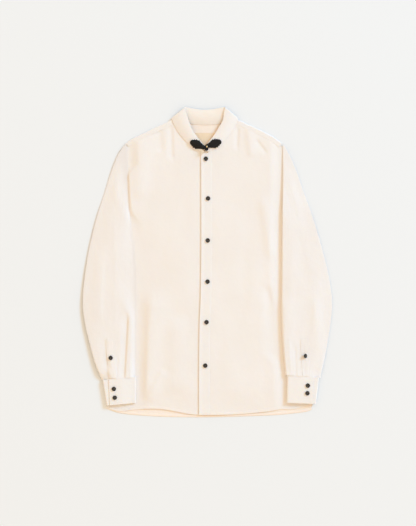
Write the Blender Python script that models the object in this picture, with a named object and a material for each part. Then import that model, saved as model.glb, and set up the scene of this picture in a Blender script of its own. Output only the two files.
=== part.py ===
"""Long-sleeved silk shirt with a stand collar, lying on its back on a flat surface.

The tables hold millimetres. X runs across the shirt, Y from the hem to the collar and Z up from the
surface it lies on. Left and right are the wearer's, so the right sleeve lies at -X. The back rests on
the surface, the two fronts lie on the back, and the sleeves are folded down over the sides.
"""

import math
from collections import namedtuple

import bmesh
import bpy
import numpy as np
from mathutils import Vector
from mathutils.bvhtree import BVHTree
from mathutils.geometry import delaunay_2d_cdt

MM = 0.001

# Walls and the clearance between two layers
CLOTH = 1.0
BAND_CLOTH = 1.4
COLLAR_CLOTH = 1.5
GAP = 0.3
LAYER_GAP = 0.5

# Heights of the mid-surfaces of the body
BACK_MID = CLOTH / 2
FRONT_LOW = CLOTH + GAP + CLOTH / 2
PUFF = 3.1
FRONT_TOP = FRONT_LOW + PUFF
BAND_RISE = CLOTH / 2 + LAYER_GAP + BAND_CLOTH / 2

# Shoulder fold: the yoke rolls over the shoulder and is seamed to the front
FOLD_RADIUS = (FRONT_TOP - BACK_MID) / 2
YOKE_STRIP = 9.0
YOKE_DEPTH_Y = 268.0

# Front opening
BAND_WIDTH = 29.0
NECK_UNDER = 1.5

# Sleeves and cuffs
SLEEVE_LIFT = 3.3
SLEEVE_EDGE = 2.3
SLEEVE_SLOPE = 18.0
SLEEVE_MARGIN = 18.0
CUFF_CLOTH = 1.2
CUFF_GAP = 3.5
CUFF_OVERLAP = 27.0

# Buttons
BUTTON_RADIUS = 5.6
BUTTON_THICK = 2.4

# Grid steps of the panels
FRONT_STEP = 23.0
BACK_STEP = 60.0
EDGE_STEP = 20.0

Point = namedtuple("Point", "x y")
Section = namedtuple("Section", "inner_x inner_y outer_x outer_y crown")
Fold = namedtuple("Fold", "x0 y0 x1 y1 width depth")
SleeveFold = namedtuple("SleeveFold", "share0 at0 share1 at1 width depth")
Rib = namedtuple("Rib", "seam_x seam_y seam_z top_x top_y top_z")
Cuff = namedtuple("Cuff", "inner_top outer_top inner_end outer_end lap_top lap_end")
Button = namedtuple("Button", "name x y")
Station = namedtuple("Station", "along half")

# Silhouette of the shoulders, from the sleeve to the neck
RIGHT_SHOULDER = [
    Point(-205.4, 304.6), Point(-194, 313), Point(-179, 320), Point(-140, 339),
    Point(-113, 351.5), Point(-97, 359.5), Point(-89.5, 363.5),
]
LEFT_SHOULDER = [
    Point(187.6, 303.4), Point(170, 317), Point(152, 327), Point(124, 341),
    Point(101, 351), Point(88, 357.5), Point(78.5, 361.5),
]

# Seam lines of the neck, from the wearer's right to the left
FRONT_NECK = [
    Point(-90, 361), Point(-84.4, 347), Point(-73.7, 329), Point(-59.4, 311), Point(-42, 294),
    Point(-23, 282.3), Point(-6.6, 278.6), Point(9.8, 282.3), Point(28.8, 294), Point(46.2, 311),
    Point(60.5, 329), Point(71.2, 347), Point(76.8, 361),
]
BACK_NECK = [
    Point(-87, 362), Point(-74, 358.5), Point(-52, 353.5), Point(-29, 351.2), Point(-6.6, 350.6),
    Point(16, 351.2), Point(39, 353.5), Point(61, 358), Point(76, 360.5),
]

# Armholes, from the shoulder to the underarm, and side seams down to the hem
RIGHT_ARMHOLE = [
    Point(-206, 302), Point(-210.4, 286), Point(-212.2, 247), Point(-212.9, 184),
    Point(-222, 143), Point(-241, 113.5), Point(-261, 102),
]
LEFT_ARMHOLE = [
    Point(188.5, 301), Point(195, 286), Point(198.9, 247), Point(200.2, 184),
    Point(209, 143), Point(231, 113.5), Point(259, 102),
]
RIGHT_SIDE = [Point(-261, 102), Point(-258, -130), Point(-257, -374)]
LEFT_SIDE = [Point(259, 102), Point(262, -130), Point(266.5, -376.5)]

# Free edge of the front band, from the neck to the hem, and the hems from the right to the left side
BAND_EDGE = [
    Point(-16.5, 290), Point(-16, 60), Point(-17.5, -80), Point(-20.5, -165),
    Point(-21.7, -275), Point(-21.7, -392),
]
FRONT_HEM = [
    Point(-256, -373), Point(-225, -381), Point(-190, -377.5), Point(-150, -374.5), Point(-118, -375.5),
    Point(-78, -382), Point(-50, -387.5), Point(-21.7, -389.8), Point(44.6, -389.6), Point(90, -387.6),
    Point(124, -384.8), Point(159, -380.7), Point(187, -376), Point(210, -376.5), Point(236, -372.3),
    Point(265, -362),
]
BACK_HEM = [
    Point(-257, -374), Point(-233, -383), Point(-213, -387), Point(-172, -391), Point(-131, -393.5),
    Point(-70, -395.3), Point(0, -395.5), Point(73, -394), Point(154, -391), Point(195, -388.5),
    Point(236, -384), Point(258, -380.5), Point(266.5, -376.5),
]

# Sleeves as sections from the armhole to the cuff: the inner edge lies on the body, the outer one is
# the silhouette, and crown is how far the middle stands above the edges
RIGHT_SLEEVE = [
    Section(-198, 115, -206.8, 304, 0.3), Section(-197.2, 102, -224.4, 280.5, 0.8),
    Section(-194.8, 84, -242.3, 240, 1.1), Section(-191.2, 61, -261.4, 181, 1.3),
    Section(-187, 31, -281.8, 117, 1.4), Section(-183.4, -10, -299.6, 46, 1.4),
    Section(-181.6, -59, -312.4, -31, 1.4), Section(-181.6, -110, -318, -102, 1.4),
    Section(-182.2, -161, -312.4, -156, 1.4), Section(-182.3, -212, -299, -212, 1.2),
    Section(-182.3, -255, -285.6, -260, 1.0), Section(-182.3, -292.2, -269, -300.4, 0.6),
]
LEFT_SLEEVE = [
    Section(190.8, 119, 191.5, 302, 0.3), Section(191.4, 105, 205, 280.5, 0.8),
    Section(190.8, 87, 223.9, 240, 1.1), Section(190.2, 61, 243.5, 184, 1.3),
    Section(189.8, 31, 266.5, 120, 1.4), Section(189.3, -10, 288.2, 48.5, 1.4),
    Section(188.7, -59, 307.3, -25.5, 1.4), Section(188.2, -110, 318, -97, 1.4),
    Section(189.2, -161, 314.2, -153, 1.4), Section(192.2, -212, 305.5, -209, 1.2),
    Section(195.6, -252.5, 296.6, -255, 1.0), Section(199.2, -286.9, 287.6, -294.5, 0.6),
]

# Large folds of the fronts, as troughs from one point to another
FRONT_FOLDS = [
    Fold(-92, 352, -89, 262, 9, -1.5), Fold(-127, 330, -121, 255, 11, -1.2),
    Fold(-181, 300, -179, 215, 9, -1.4), Fold(-145, -60, -175, -195, 17, -1.9),
    Fold(-100, -115, -113, -290, 15, -1.3), Fold(-147, -285, -168, -360, 12, -1.1),
    Fold(83, 345, 80, 255, 11, -1.2), Fold(131, 318, 150, 272, 10, -1.2),
    Fold(133, 130, 158, -30, 16, -1.7), Fold(150, -50, 180, -150, 14, -1.4),
    Fold(-60, 120, -66, -120, 28, 0.9), Fold(70, 150, 78, -100, 26, 0.9),
]

# Long troughs of the sleeves: share runs from the inner edge to the outer one, at counts sections
RIGHT_SLEEVE_FOLDS = [
    SleeveFold(0.30, 1.6, 0.31, 8.2, 0.075, -1.5), SleeveFold(0.60, 7.4, 0.57, 9.6, 0.05, -1.2),
    SleeveFold(0.10, 7.6, 0.33, 11.4, 0.05, -1.1), SleeveFold(0.75, 2.5, 0.80, 7.0, 0.08, -0.7),
]
LEFT_SLEEVE_FOLDS = [
    SleeveFold(0.55, 5.8, 0.86, 11.2, 0.08, -1.9), SleeveFold(0.22, 8.0, 0.20, 11.4, 0.05, -0.7),
    SleeveFold(0.45, 1.5, 0.50, 5.5, 0.10, -0.8),
]

# Collar, from its end at the centre front round to the centre back, for the wearer's right
COLLAR_CENTRE_X = -6.6
COLLAR_RIBS = [
    Rib(-7.7, 279.8, 8.6, -7.7, 291.4, 10.6), Rib(-12.9, 280.6, 8.6, -10.8, 299.2, 11.6),
    Rib(-23.0, 283.4, 8.0, -17.6, 307.5, 12.6), Rib(-42.0, 294.8, 7.2, -29.8, 323.3, 14.0),
    Rib(-59.4, 311.8, 7.0, -40.3, 340.2, 15.2), Rib(-73.7, 329.8, 6.9, -48.2, 361.0, 15.8),
    Rib(-84.4, 347.8, 6.9, -53.8, 379.0, 15.4), Rib(-89.6, 360.5, 6.9, -57.0, 389.6, 14.4),
    Rib(-91.0, 365.8, 5.2, -57.4, 393.4, 12.0), Rib(-87.0, 365.6, 3.2, -54.6, 394.4, 9.6),
    Rib(-74.0, 360.4, 2.4, -45.0, 392.8, 8.6), Rib(-52.0, 354.8, 2.3, -31.5, 390.2, 8.2),
    Rib(-29.0, 352.2, 2.3, -19.0, 388.5, 8.2), Rib(-6.6, 351.5, 2.3, -6.6, 387.9, 8.2),
]
COLLAR_BOW = 2.0

# Cuffs: corners as (x, y); lap is where the upper layer ends on the top side
RIGHT_CUFF = Cuff((-182.4, -292.7), (-267.0, -300.8), (-183.4, -359.0), (-256.5, -365.5),
                  (-251.5, -299.3), (-248.5, -364.8))
LEFT_CUFF = Cuff((203.3, -287.8), (284.0, -294.8), (201.8, -358.5), (275.6, -361.5),
                 (269.5, -293.4), (267.5, -361.0))

# Sleeve plackets: the slit edge runs from its top to the cuff, and the strip lies inward of it
PLACKET_WIDTH = 20.0
RIGHT_PLACKET = [Point(-258, -199), Point(-257.5, -232), Point(-254, -262), Point(-251, -296)]
LEFT_PLACKET = [Point(257, -196), Point(258, -230), Point(260.5, -262), Point(262.5, -291)]

FRONT_BUTTONS = [
    Button("front_button_1", -4.2, 262.9), Button("front_button_2", 1.5, 162),
    Button("front_button_3", 0.7, 54.9), Button("front_button_4", 0.2, -50),
    Button("front_button_5", -2.5, -153.4), Button("front_button_6", -5.6, -263.9),
]
CUFF_BUTTONS = [
    Button("right_cuff_button_1", -238.3, -322.8), Button("right_cuff_button_2", -235.9, -345.2),
    Button("left_cuff_button_1", 255.3, -314.4), Button("left_cuff_button_2", 254.2, -333.9),
]
PLACKET_BUTTONS = [
    Button("right_placket_button", -246.5, -244.1), Button("left_placket_button", 248.9, -239.0),
]

# Degrees that a button's left edge is tipped up where it isn't flat
TIPPED_BUTTONS = {"left_placket_button": 40.0}

# Leaf-shaped frog fastening at the base of the collar
LEAF_LENGTH = 40.0
LEAF_WIDTH = 24.0
LEAF_STATIONS = [
    Station(0.0, 0.1), Station(0.28, 0.55), Station(0.55, 1.0), Station(0.82, 0.85), Station(1.0, 0.25),
]
LEAF_CLOTH = 1.2
LEAF_LOBES = 4
RIGHT_LEAF_ROOT = Point(-6.8, 290.0)
LEFT_LEAF_ROOT = Point(-2.0, 290.8)
RIGHT_LEAF_ANGLE = 156.0
LEFT_LEAF_ANGLE = 22.0
LEAF_GAP = 0.9
BALL_GAP = 0.8
KNOT = Point(-2.4, 287.0)
KNOT_RADIUS = 4.5
BEAD = Point(-1.5, 292.6)
BEAD_RADIUS = 1.9

# Blank label inside the yoke, below the back of the neck
LABEL_CENTRE = Point(-6.6, 310.5)
LABEL_SIZE = (66.0, 38.0)

SILK = ((0.86, 0.78, 0.68), 0.55, 0.0)
SILK_BAND = ((0.87, 0.79, 0.70), 0.5, 0.0)
BLACK_BUTTON = ((0.02, 0.018, 0.016), 0.3, 0.0)
BLACK_CORD = ((0.015, 0.014, 0.013), 0.7, 0.0)
GOLD = ((0.72, 0.52, 0.26), 0.3, 1.0)
LABEL_WEAVE = ((0.84, 0.76, 0.64), 0.6, 0.0)


def clear_scene():
    for obj in list(bpy.data.objects):
        bpy.data.objects.remove(obj)


def material(name, look):
    colour, roughness, metallic = look
    made = bpy.data.materials.new(name)
    made.use_nodes = True
    shader = made.node_tree.nodes["Principled BSDF"]
    shader.inputs["Base Color"].default_value = (*colour, 1)
    shader.inputs["Roughness"].default_value = roughness
    shader.inputs["Metallic"].default_value = metallic
    return made


def make_object(name, points, faces, look, wall=0.0, offset=0.0):
    """An object from points in millimetres. With a wall, the faces are a surface that it thickens."""
    mesh = bpy.data.meshes.new(name)
    mesh.from_pydata([tuple(c * MM for c in p) for p in points], [], faces)
    tidy = bmesh.new()
    tidy.from_mesh(mesh)
    bmesh.ops.recalc_face_normals(tidy, faces=tidy.faces)
    tidy.to_mesh(mesh)
    tidy.free()
    obj = bpy.data.objects.new(name, mesh)
    bpy.context.scene.collection.objects.link(obj)
    obj.data.materials.append(material(name, look))
    if wall:
        solid = obj.modifiers.new("wall", "SOLIDIFY")
        solid.thickness = wall * MM
        solid.offset = offset
    mesh.shade_smooth()
    mesh.set_sharp_from_angle(angle=math.radians(40))
    return obj


def row_at(rows, at):
    """The row at a real-valued place in a table, on a smooth line (Catmull-Rom) through its columns."""
    table = np.array(rows, float)
    i = min(int(at), len(table) - 2)
    f = at - i
    before, here, then, after = (table[min(max(k, 0), len(table) - 1)] for k in (i - 1, i, i + 1, i + 2))
    return 0.5 * (
        2 * here
        + (then - before) * f
        + (2 * before - 5 * here + 4 * then - after) * f**2
        + (3 * here - before - 3 * then + after) * f**3
    )


def smooth_line(rows, per_span=8):
    """Points of a smooth line through the rows."""
    steps = (len(rows) - 1) * per_span
    return np.array([row_at(rows, k / per_span) for k in range(steps + 1)])


def resample(line, step):
    """The same line with its points evenly spaced, about a step apart."""
    line = np.asarray(line, float)
    run = np.concatenate([[0], np.cumsum(np.hypot(*np.diff(line, axis=0).T))])
    count = max(1, round(run[-1] / step))
    at = np.linspace(0, run[-1], count + 1)
    return np.stack([np.interp(at, run, line[:, 0]), np.interp(at, run, line[:, 1])], axis=1)


def between_x(line, low, high):
    """The part of a line, ordered by x, that lies between two x, with points at both."""
    inside = line[(line[:, 0] > low) & (line[:, 0] < high)]
    ends = [[x, np.interp(x, line[:, 0], line[:, 1])] for x in (low, high)]
    return np.vstack([ends[0], inside, ends[1]])


def inward(line):
    """Unit normals of a shoulder line that point down into the body."""
    ahead = np.gradient(line, axis=0)
    normal = np.stack([-ahead[:, 1], ahead[:, 0]], axis=1)
    normal /= np.hypot(*normal.T)[:, None]
    return normal * np.where(normal[:, 1:] > 0, -1, 1)


def join(*runs):
    """One closed outline from runs that follow each other, without repeated points."""
    points = []
    for run in runs:
        for p in run:
            if not points or math.dist(p, points[-1]) > 0.5:
                points.append((float(p[0]), float(p[1])))
    if math.dist(points[0], points[-1]) < 0.5:
        points.pop()
    return points


def signed_distance(points, outline):
    """How far each point lies inside a closed outline; it is negative outside."""
    points, a = np.asarray(points, float), np.asarray(outline, float)
    b = np.roll(a, -1, axis=0)
    side = b - a
    rel = points[:, None] - a[None]
    share = np.clip((rel * side).sum(2) / np.maximum((side**2).sum(1), 1e-12), 0, 1)
    near = np.hypot(*np.moveaxis(rel - share[..., None] * side, 2, 0)).min(1)
    x, y = points[:, :1], points[:, 1:]
    crosses = (a[:, 1] > y) != (b[:, 1] > y)
    rise = np.where(np.abs(side[:, 1]) < 1e-12, 1e-12, side[:, 1])
    left_of = x < a[:, 0] + (y - a[:, 1]) * side[:, 0] / rise
    inside = (crosses & left_of).sum(1) % 2 == 1
    return np.where(inside, near, -near)


def fill(outline, step):
    """Triangles that fill an outline: its points, a grid of inner points, and for each its source."""
    low, high = np.min(outline, axis=0), np.max(outline, axis=0)
    xs = np.arange(low[0] + step / 2, high[0], step)
    ys = np.arange(low[1] + step / 2, high[1], step)
    grid = np.array([(x + (k % 2) * step / 2, y) for k, y in enumerate(ys) for x in xs])
    grid = grid[signed_distance(grid, outline) > 0.4 * step]
    points = [Vector(p) for p in outline] + [Vector(p) for p in grid]
    loop = list(range(len(outline)))
    made = delaunay_2d_cdt(points, [], [loop], 1, 1e-6, True)
    plan = np.array([tuple(v) for v in made[0]])
    kept = signed_distance([plan[list(f)].mean(axis=0) for f in made[2]], outline) > 0
    faces = [tuple(f) for f, keep in zip(made[2], kept) if keep]
    return [tuple(p) for p in plan], faces, made[3]


def ease(value):
    """0 below 0, 1 above 1 and a smooth step between."""
    t = np.clip(value, 0, 1)
    return t * t * (3 - 2 * t)


def fold_height(x, y, folds):
    """Sum of the folds at points: each fades at both ends and falls off across its width."""
    total = np.zeros_like(x)
    for f in folds:
        run = np.array([f.x1 - f.x0, f.y1 - f.y0], float)
        length = math.hypot(*run)
        along = ((x - f.x0) * run[0] + (y - f.y0) * run[1]) / length**2
        across = ((x - f.x0) * run[1] - (y - f.y0) * run[0]) / length
        fade = ease(along * 4) * ease((1 - along) * 4)
        total += f.depth * fade * np.exp(-((across / f.width) ** 2))
    return total


def inner_edge_x(sections, cuff, y):
    """X of the edge of a sleeve that lies on the body, at a height on the shirt."""
    line = [(sections[0].outer_x, sections[0].outer_y)]
    line += [(s.inner_x, s.inner_y) for s in sections]
    line += [cuff.inner_end]
    line = np.array(line)[::-1]
    return np.interp(y, line[:, 1], line[:, 0])


def front_z(x, y):
    """Mid-surface of the fronts: puffed in the middle, flat under the sleeves and low at the hem."""
    x, y = np.asarray(x, float), np.asarray(y, float)
    right = inner_edge_x(RIGHT_SLEEVE, RIGHT_CUFF, y)
    left = inner_edge_x(LEFT_SLEEVE, LEFT_CUFF, y)
    open_part = ease((x - right - 4) / 28) * ease((left - x - 4) / 28)
    hem = 0.3 + 0.7 * ease((y - FRONT_HEM[7].y) / 70)
    rise = PUFF * open_part * hem + fold_height(x, y, FRONT_FOLDS) * open_part * hem
    return FRONT_LOW + np.maximum(rise, 0)


def band_edge_x(y):
    line = smooth_line(BAND_EDGE)[::-1]
    return np.interp(y, line[:, 1], line[:, 0])


def left_front_z(x, y):
    """The left front starts at the height of the band and sinks to the height of the right front."""
    beyond = np.asarray(x, float) - band_edge_x(y) - BAND_WIDTH
    return front_z(x, y) + BAND_RISE * (1 - ease(beyond / 90))


def band_z(x, y):
    return front_z(x, y) + BAND_RISE


def panel(name, outline, height, step, wall, look):
    """A cloth panel of the outline, at height(x, y)."""
    plan, faces, _ = fill(outline, step)
    x, y = np.array(plan).T
    z = height(x, y) * np.ones_like(x)
    return make_object(name, list(zip(x, y, z)), faces, look, wall)


def body_outline():
    """Outline of the flat back and yoke together."""
    right, left = smooth_line(RIGHT_SHOULDER), smooth_line(LEFT_SHOULDER)
    return join(
        resample(smooth_line(BACK_HEM), EDGE_STEP),
        resample(smooth_line(LEFT_SIDE)[::-1], EDGE_STEP),
        resample(smooth_line(LEFT_ARMHOLE)[::-1], EDGE_STEP),
        resample(left, EDGE_STEP),
        resample(smooth_line(BACK_NECK)[::-1], EDGE_STEP),
        resample(right[::-1], EDGE_STEP),
        resample(smooth_line(RIGHT_ARMHOLE), EDGE_STEP),
        resample(smooth_line(RIGHT_SIDE), EDGE_STEP),
    )


def make_back():
    right_arm, left_arm = smooth_line(RIGHT_ARMHOLE), smooth_line(LEFT_ARMHOLE)
    right_arm = right_arm[right_arm[:, 1] < YOKE_DEPTH_Y - GAP]
    left_arm = left_arm[left_arm[:, 1] < YOKE_DEPTH_Y - GAP]
    seam = YOKE_DEPTH_Y - GAP
    outline = join(
        resample(smooth_line(BACK_HEM), EDGE_STEP),
        resample(smooth_line(LEFT_SIDE)[::-1], EDGE_STEP),
        resample(np.vstack([left_arm[::-1], [left_arm[0, 0], seam]]), EDGE_STEP),
        resample(np.array([[left_arm[0, 0], seam], [right_arm[0, 0], seam]]), BACK_STEP),
        resample(np.vstack([[right_arm[0, 0], seam], right_arm]), EDGE_STEP),
        resample(smooth_line(RIGHT_SIDE), EDGE_STEP),
    )
    return panel("back", outline, lambda x, y: BACK_MID, BACK_STEP, CLOTH, SILK)


def make_yoke():
    """The back yoke, with a strip on each side that rolls over the shoulder onto the front."""
    shoulders, lower_edges = [], []
    for table in (LEFT_SHOULDER, RIGHT_SHOULDER):
        line = resample(smooth_line(table), EDGE_STEP)
        shoulders.append((line, inward(line)))
        lower_edges.append(line + inward(line) * FOLD_RADIUS)
    left_arm, right_arm = smooth_line(LEFT_ARMHOLE), smooth_line(RIGHT_ARMHOLE)
    left_arm = left_arm[(left_arm[:, 1] > YOKE_DEPTH_Y) & (left_arm[:, 1] < 298)]
    right_arm = right_arm[(right_arm[:, 1] > YOKE_DEPTH_Y) & (right_arm[:, 1] < 298)]
    outline = join(
        [(right_arm[-1, 0], YOKE_DEPTH_Y), (left_arm[-1, 0], YOKE_DEPTH_Y)],
        resample(left_arm[::-1], EDGE_STEP),
        lower_edges[0],
        resample(smooth_line(BACK_NECK)[::-1], EDGE_STEP)[1:-1],
        lower_edges[1][::-1],
        resample(right_arm, EDGE_STEP),
    )
    plan, faces, source = fill(outline, EDGE_STEP)
    points = [(x, y, BACK_MID) for x, y in plan]
    index = {ids[0]: k for k, ids in enumerate(source) if ids}
    for (line, normal), lower in zip(shoulders, lower_edges):
        row = [index[outline.index((float(p[0]), float(p[1])))] for p in lower]
        steps = [(FOLD_RADIUS * (1 - math.cos(a)), FOLD_RADIUS * (1 + math.sin(a)))
                 for a in np.radians([-50, -15, 15, 50, 90])]
        steps += [(FOLD_RADIUS + YOKE_STRIP * share, 2 * FOLD_RADIUS) for share in (0.5, 1)]
        for inset, rise in steps:
            start = len(points)
            points += [(*(p + n * inset), BACK_MID + rise) for p, n in zip(line, normal)]
            for k in range(len(row) - 1):
                faces.append((row[k], row[k + 1], start + k + 1, start + k))
            row = list(range(start, start + len(line)))
    return make_object("yoke", points, faces, SILK, CLOTH)


def front_top_line(shoulder):
    """Where a front meets the yoke: the shoulder line moved in past the rolled strip."""
    line = smooth_line(shoulder)
    return line + inward(line) * (FOLD_RADIUS + YOKE_STRIP + GAP + 0.1)


def neck_line():
    """Neck edge of the fronts, which reaches just under the lower edge of the collar."""
    return smooth_line(FRONT_NECK) + np.array([0, NECK_UNDER])


def make_right_front():
    neck, top = neck_line(), front_top_line(RIGHT_SHOULDER)
    hem = smooth_line(FRONT_HEM)
    under = np.array([[band_edge_x(y) + BAND_WIDTH, y] for y in np.linspace(-388, 281, 40)])
    arm = smooth_line(RIGHT_ARMHOLE)
    outline = join(
        resample(between_x(hem, hem[0, 0], under[0, 0]), EDGE_STEP),
        resample(under, EDGE_STEP),
        resample(between_x(neck, top[-1, 0] + 1, under[-1, 0])[::-1], EDGE_STEP / 2),
        resample(top[::-1], EDGE_STEP),
        resample(arm[arm[:, 1] < top[0, 1] - 3], EDGE_STEP),
        resample(smooth_line(RIGHT_SIDE)[:-2], EDGE_STEP),
    )
    return panel("right_front", outline, front_z, FRONT_STEP, CLOTH, SILK)


def make_left_front():
    neck, top = neck_line(), front_top_line(LEFT_SHOULDER)
    hem = smooth_line(FRONT_HEM)
    seam = np.array([[band_edge_x(y) + BAND_WIDTH + GAP + 0.1, y] for y in np.linspace(-388, 281, 40)])
    arm = smooth_line(LEFT_ARMHOLE)
    outline = join(
        resample(between_x(hem, seam[0, 0], hem[-1, 0])[::-1], EDGE_STEP),
        resample(seam, EDGE_STEP),
        resample(between_x(neck, seam[-1, 0], top[-1, 0] - 3), EDGE_STEP / 2),
        resample(top[::-1], EDGE_STEP),
        resample(arm[arm[:, 1] < top[0, 1] - 3], EDGE_STEP),
        resample(smooth_line(LEFT_SIDE)[:-2], EDGE_STEP),
    )
    return panel("left_front", outline, left_front_z, FRONT_STEP, CLOTH, SILK)


def make_front_band():
    """The buttonhole band that lies over the edge of the right front."""
    neck, hem = neck_line(), smooth_line(FRONT_HEM)
    levels = np.linspace(0, 1, 34)
    shares = np.linspace(0, 1, 4)
    points, faces = [], []
    for level in levels:
        for share in shares:
            x = band_edge_x(-390 + 670 * level) + BAND_WIDTH * share
            low, high = np.interp(x, hem[:, 0], hem[:, 1]), np.interp(x, neck[:, 0], neck[:, 1])
            y = low + (high - low) * level
            x = band_edge_x(y) + BAND_WIDTH * share
            points.append((x, y, float(band_z(x, y))))
    for k in range(len(levels) - 1):
        for j in range(len(shares) - 1):
            first = k * len(shares) + j
            faces.append((first, first + 1, first + len(shares) + 1, first + len(shares)))
    return make_object("front_band", points, faces, SILK_BAND, BAND_CLOTH)


def under_sleeve_z(x, y, outline):
    """Height a sleeve's underside lies at: on the body, then down to the surface beside it."""
    inside = signed_distance(np.stack([x, y], axis=1), outline)
    return SLEEVE_LIFT * ease(1 + (inside + SLEEVE_MARGIN) / SLEEVE_SLOPE)


def skew_inset(sections, at, column, across):
    """How far in from an edge the wall's inner face lies, measured along the section."""
    ahead = row_at(sections, min(at + 0.1, len(sections) - 1)) - row_at(sections, max(at - 0.1, 0))
    edge = ahead[column:column + 2] / np.hypot(*ahead[column:column + 2])
    turn = abs(edge[0] * across[1] - edge[1] * across[0])
    return CLOTH / max(turn, 0.075)


def section_loop(sections, folds, at, outline, inset):
    """Points round one flattened section of a sleeve: the top from inner to outer, then back."""
    section = row_at(sections, at)
    inner, outer = section[0:2], section[2:4]
    width = math.dist(inner, outer)
    across = (outer - inner) / width
    first = skew_inset(sections, at, 0, across) * inset
    last = width - skew_inset(sections, at, 2, across) * inset
    wall = CLOTH * inset
    edge = SLEEVE_EDGE - wall
    stations = np.linspace(SLEEVE_EDGE, width - SLEEVE_EDGE, 12)
    plan = inner + across * stations[:, None]
    base = under_sleeve_z(plan[:, 0], plan[:, 1], outline)
    crowns = [section[4] * math.sin(math.pi * s / width) ** 0.7 for s in stations]
    top = base + 2 * SLEEVE_EDGE + crowns + [sleeve_fold(s / width, at, folds) for s in stations]
    flat = np.clip(stations, first + edge, last - edge) if inset else stations
    flat = np.maximum.accumulate(flat + np.linspace(0, 0.01, len(flat)))
    round_end = np.radians([45, 0, -45])
    line = [(s, np.interp(s, stations, top) - wall) for s in flat]
    line += [(last - edge * (1 - math.cos(a)), base[-1] + SLEEVE_EDGE + edge * math.sin(a)) for a in round_end]
    line += [(s, np.interp(s, stations, base) + wall) for s in flat[::-1]]
    line += [(first + edge * (1 - math.cos(a)), base[0] + SLEEVE_EDGE + edge * math.sin(a)) for a in -round_end]
    return [(*(inner + across * s), z) for s, z in line]


def sleeve_fold(share, at, folds):
    """Depth of a sleeve's long troughs at a share of its width and a place along it."""
    total = 0.0
    for f in folds:
        along = (at - f.at0) / (f.at1 - f.at0)
        centre = f.share0 + (f.share1 - f.share0) * np.clip(along, 0, 1)
        fade = ease(along * 4) * ease((1 - along) * 4 + 0.4)
        total += f.depth * float(fade) * math.exp(-(((share - centre) / f.width) ** 2))
    return max(total, -2.2)


def make_sleeve(name, sections, folds, outline):
    """A sleeve as a flattened tube, open at the armhole and at the cuff."""
    places = np.concatenate([np.linspace(0, 6, 10)[:-1], np.linspace(6, len(sections) - 1, 10)])
    loops = [section_loop(sections, folds, at, outline, 0) for at in places]
    loops += [section_loop(sections, folds, at, outline, 1) for at in places[::-1]]
    ring = len(loops[0])
    faces = []
    for k in range(len(loops)):
        after = (k + 1) % len(loops)
        for j in range(ring):
            beside = (j + 1) % ring
            a, b = k * ring + j, k * ring + beside
            c, d = after * ring + beside, after * ring + j
            # Both faces of the wall are split along the same diagonal
            faces += [(a, b, c), (a, c, d)] if k < len(places) else [(a, b, d), (b, c, d)]
    return make_object(name, [p for loop in loops for p in loop], faces, SILK)


def cuff_section(inner, outer, lap):
    """Mid-line of a cuff across its height: one wound strip whose top layer overlaps the under one."""
    inner, outer, lap = np.array(inner), np.array(outer), np.array(lap)
    width = math.dist(inner, outer)
    across = (outer - inner) / width
    low = SLEEVE_LIFT - GAP + CUFF_CLOTH / 2
    under_top = low + CUFF_CLOTH + CUFF_GAP
    over_top = under_top + CUFF_CLOTH + 0.4
    small, large = (under_top - low) / 2, (over_top - low) / 2
    lap_at = math.dist(inner, lap)
    line = [(s, under_top) for s in np.linspace(lap_at - CUFF_OVERLAP, width - small, 4)]
    line += [(width - small + small * math.cos(a), low + small + small * math.sin(a))
             for a in np.radians([45, 0, -45])]
    line += [(s, low) for s in np.linspace(width - small, large, 6)]
    line += [(large - large * math.cos(a), low + large + large * math.sin(a))
             for a in np.radians([-45, 0, 45])]
    line += [(s, over_top) for s in np.linspace(large, lap_at, 6)]
    return [(*(inner + across * s), z) for s, z in line]


def make_cuff(name, cuff):
    points, faces = [], []
    rows = 5
    for share in np.linspace(0, 1, rows):
        corners = [np.array(a) + (np.array(b) - np.array(a)) * share
                   for a, b in ((cuff.inner_top, cuff.inner_end), (cuff.outer_top, cuff.outer_end),
                                (cuff.lap_top, cuff.lap_end))]
        line = cuff_section(*corners)
        points += line
    count = len(line)
    for k in range(rows - 1):
        for j in range(count - 1):
            here = k * count + j
            faces.append((here, here + 1, here + count + 1, here + count))
    return make_object(name, points, faces, SILK_BAND, CUFF_CLOTH)


def collar_table():
    """Ribs of the whole collar, from the right end round the back to the left end."""
    left = []
    for rib in COLLAR_RIBS[:-1]:
        x, y = 2 * COLLAR_CENTRE_X - rib.seam_x, rib.seam_y
        seam_z = rib.seam_z
        if rib.seam_y < 355:
            seam_z = max(seam_z, float(left_front_z(x, y)) + CLOTH / 2 + GAP + COLLAR_CLOTH / 2 + 0.2)
        left.append(Rib(x, y, seam_z, 2 * COLLAR_CENTRE_X - rib.top_x, rib.top_y,
                        rib.top_z + (seam_z - rib.seam_z) / 2))
    return COLLAR_RIBS + left[::-1]


def collar_point(rib, share):
    """A point of the collar between its seam and its top edge, with a slight outward bow."""
    seam, top = np.array(rib[:3]), np.array(rib[3:])
    point = seam + (top - seam) * share
    point[2] += COLLAR_BOW * math.sin(math.pi * share)
    return tuple(point)


def make_collar():
    ribs = collar_table()
    places = np.linspace(0, len(ribs) - 1, 53)
    shares = np.linspace(0, 1, 5)
    points = [collar_point(row_at(ribs, at), share) for at in places for share in shares]
    faces = []
    for k in range(len(places) - 1):
        for j in range(len(shares) - 1):
            here = k * len(shares) + j
            faces.append((here, here + 1, here + len(shares) + 1, here + len(shares)))
    return make_object("collar", points, faces, SILK_BAND, COLLAR_CLOTH)


def top_of(*objects):
    """A function that gives the height of the highest of these objects at a point, in millimetres."""
    graph = bpy.context.evaluated_depsgraph_get()
    trees = [BVHTree.FromObject(o, graph) for o in objects]

    def height(x, y):
        hits = [t.ray_cast(Vector((x * MM, y * MM, 0.2)), Vector((0, 0, -1)))[0] for t in trees]
        return max((h.z / MM for h in hits if h is not None), default=0.0)

    return height


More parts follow.
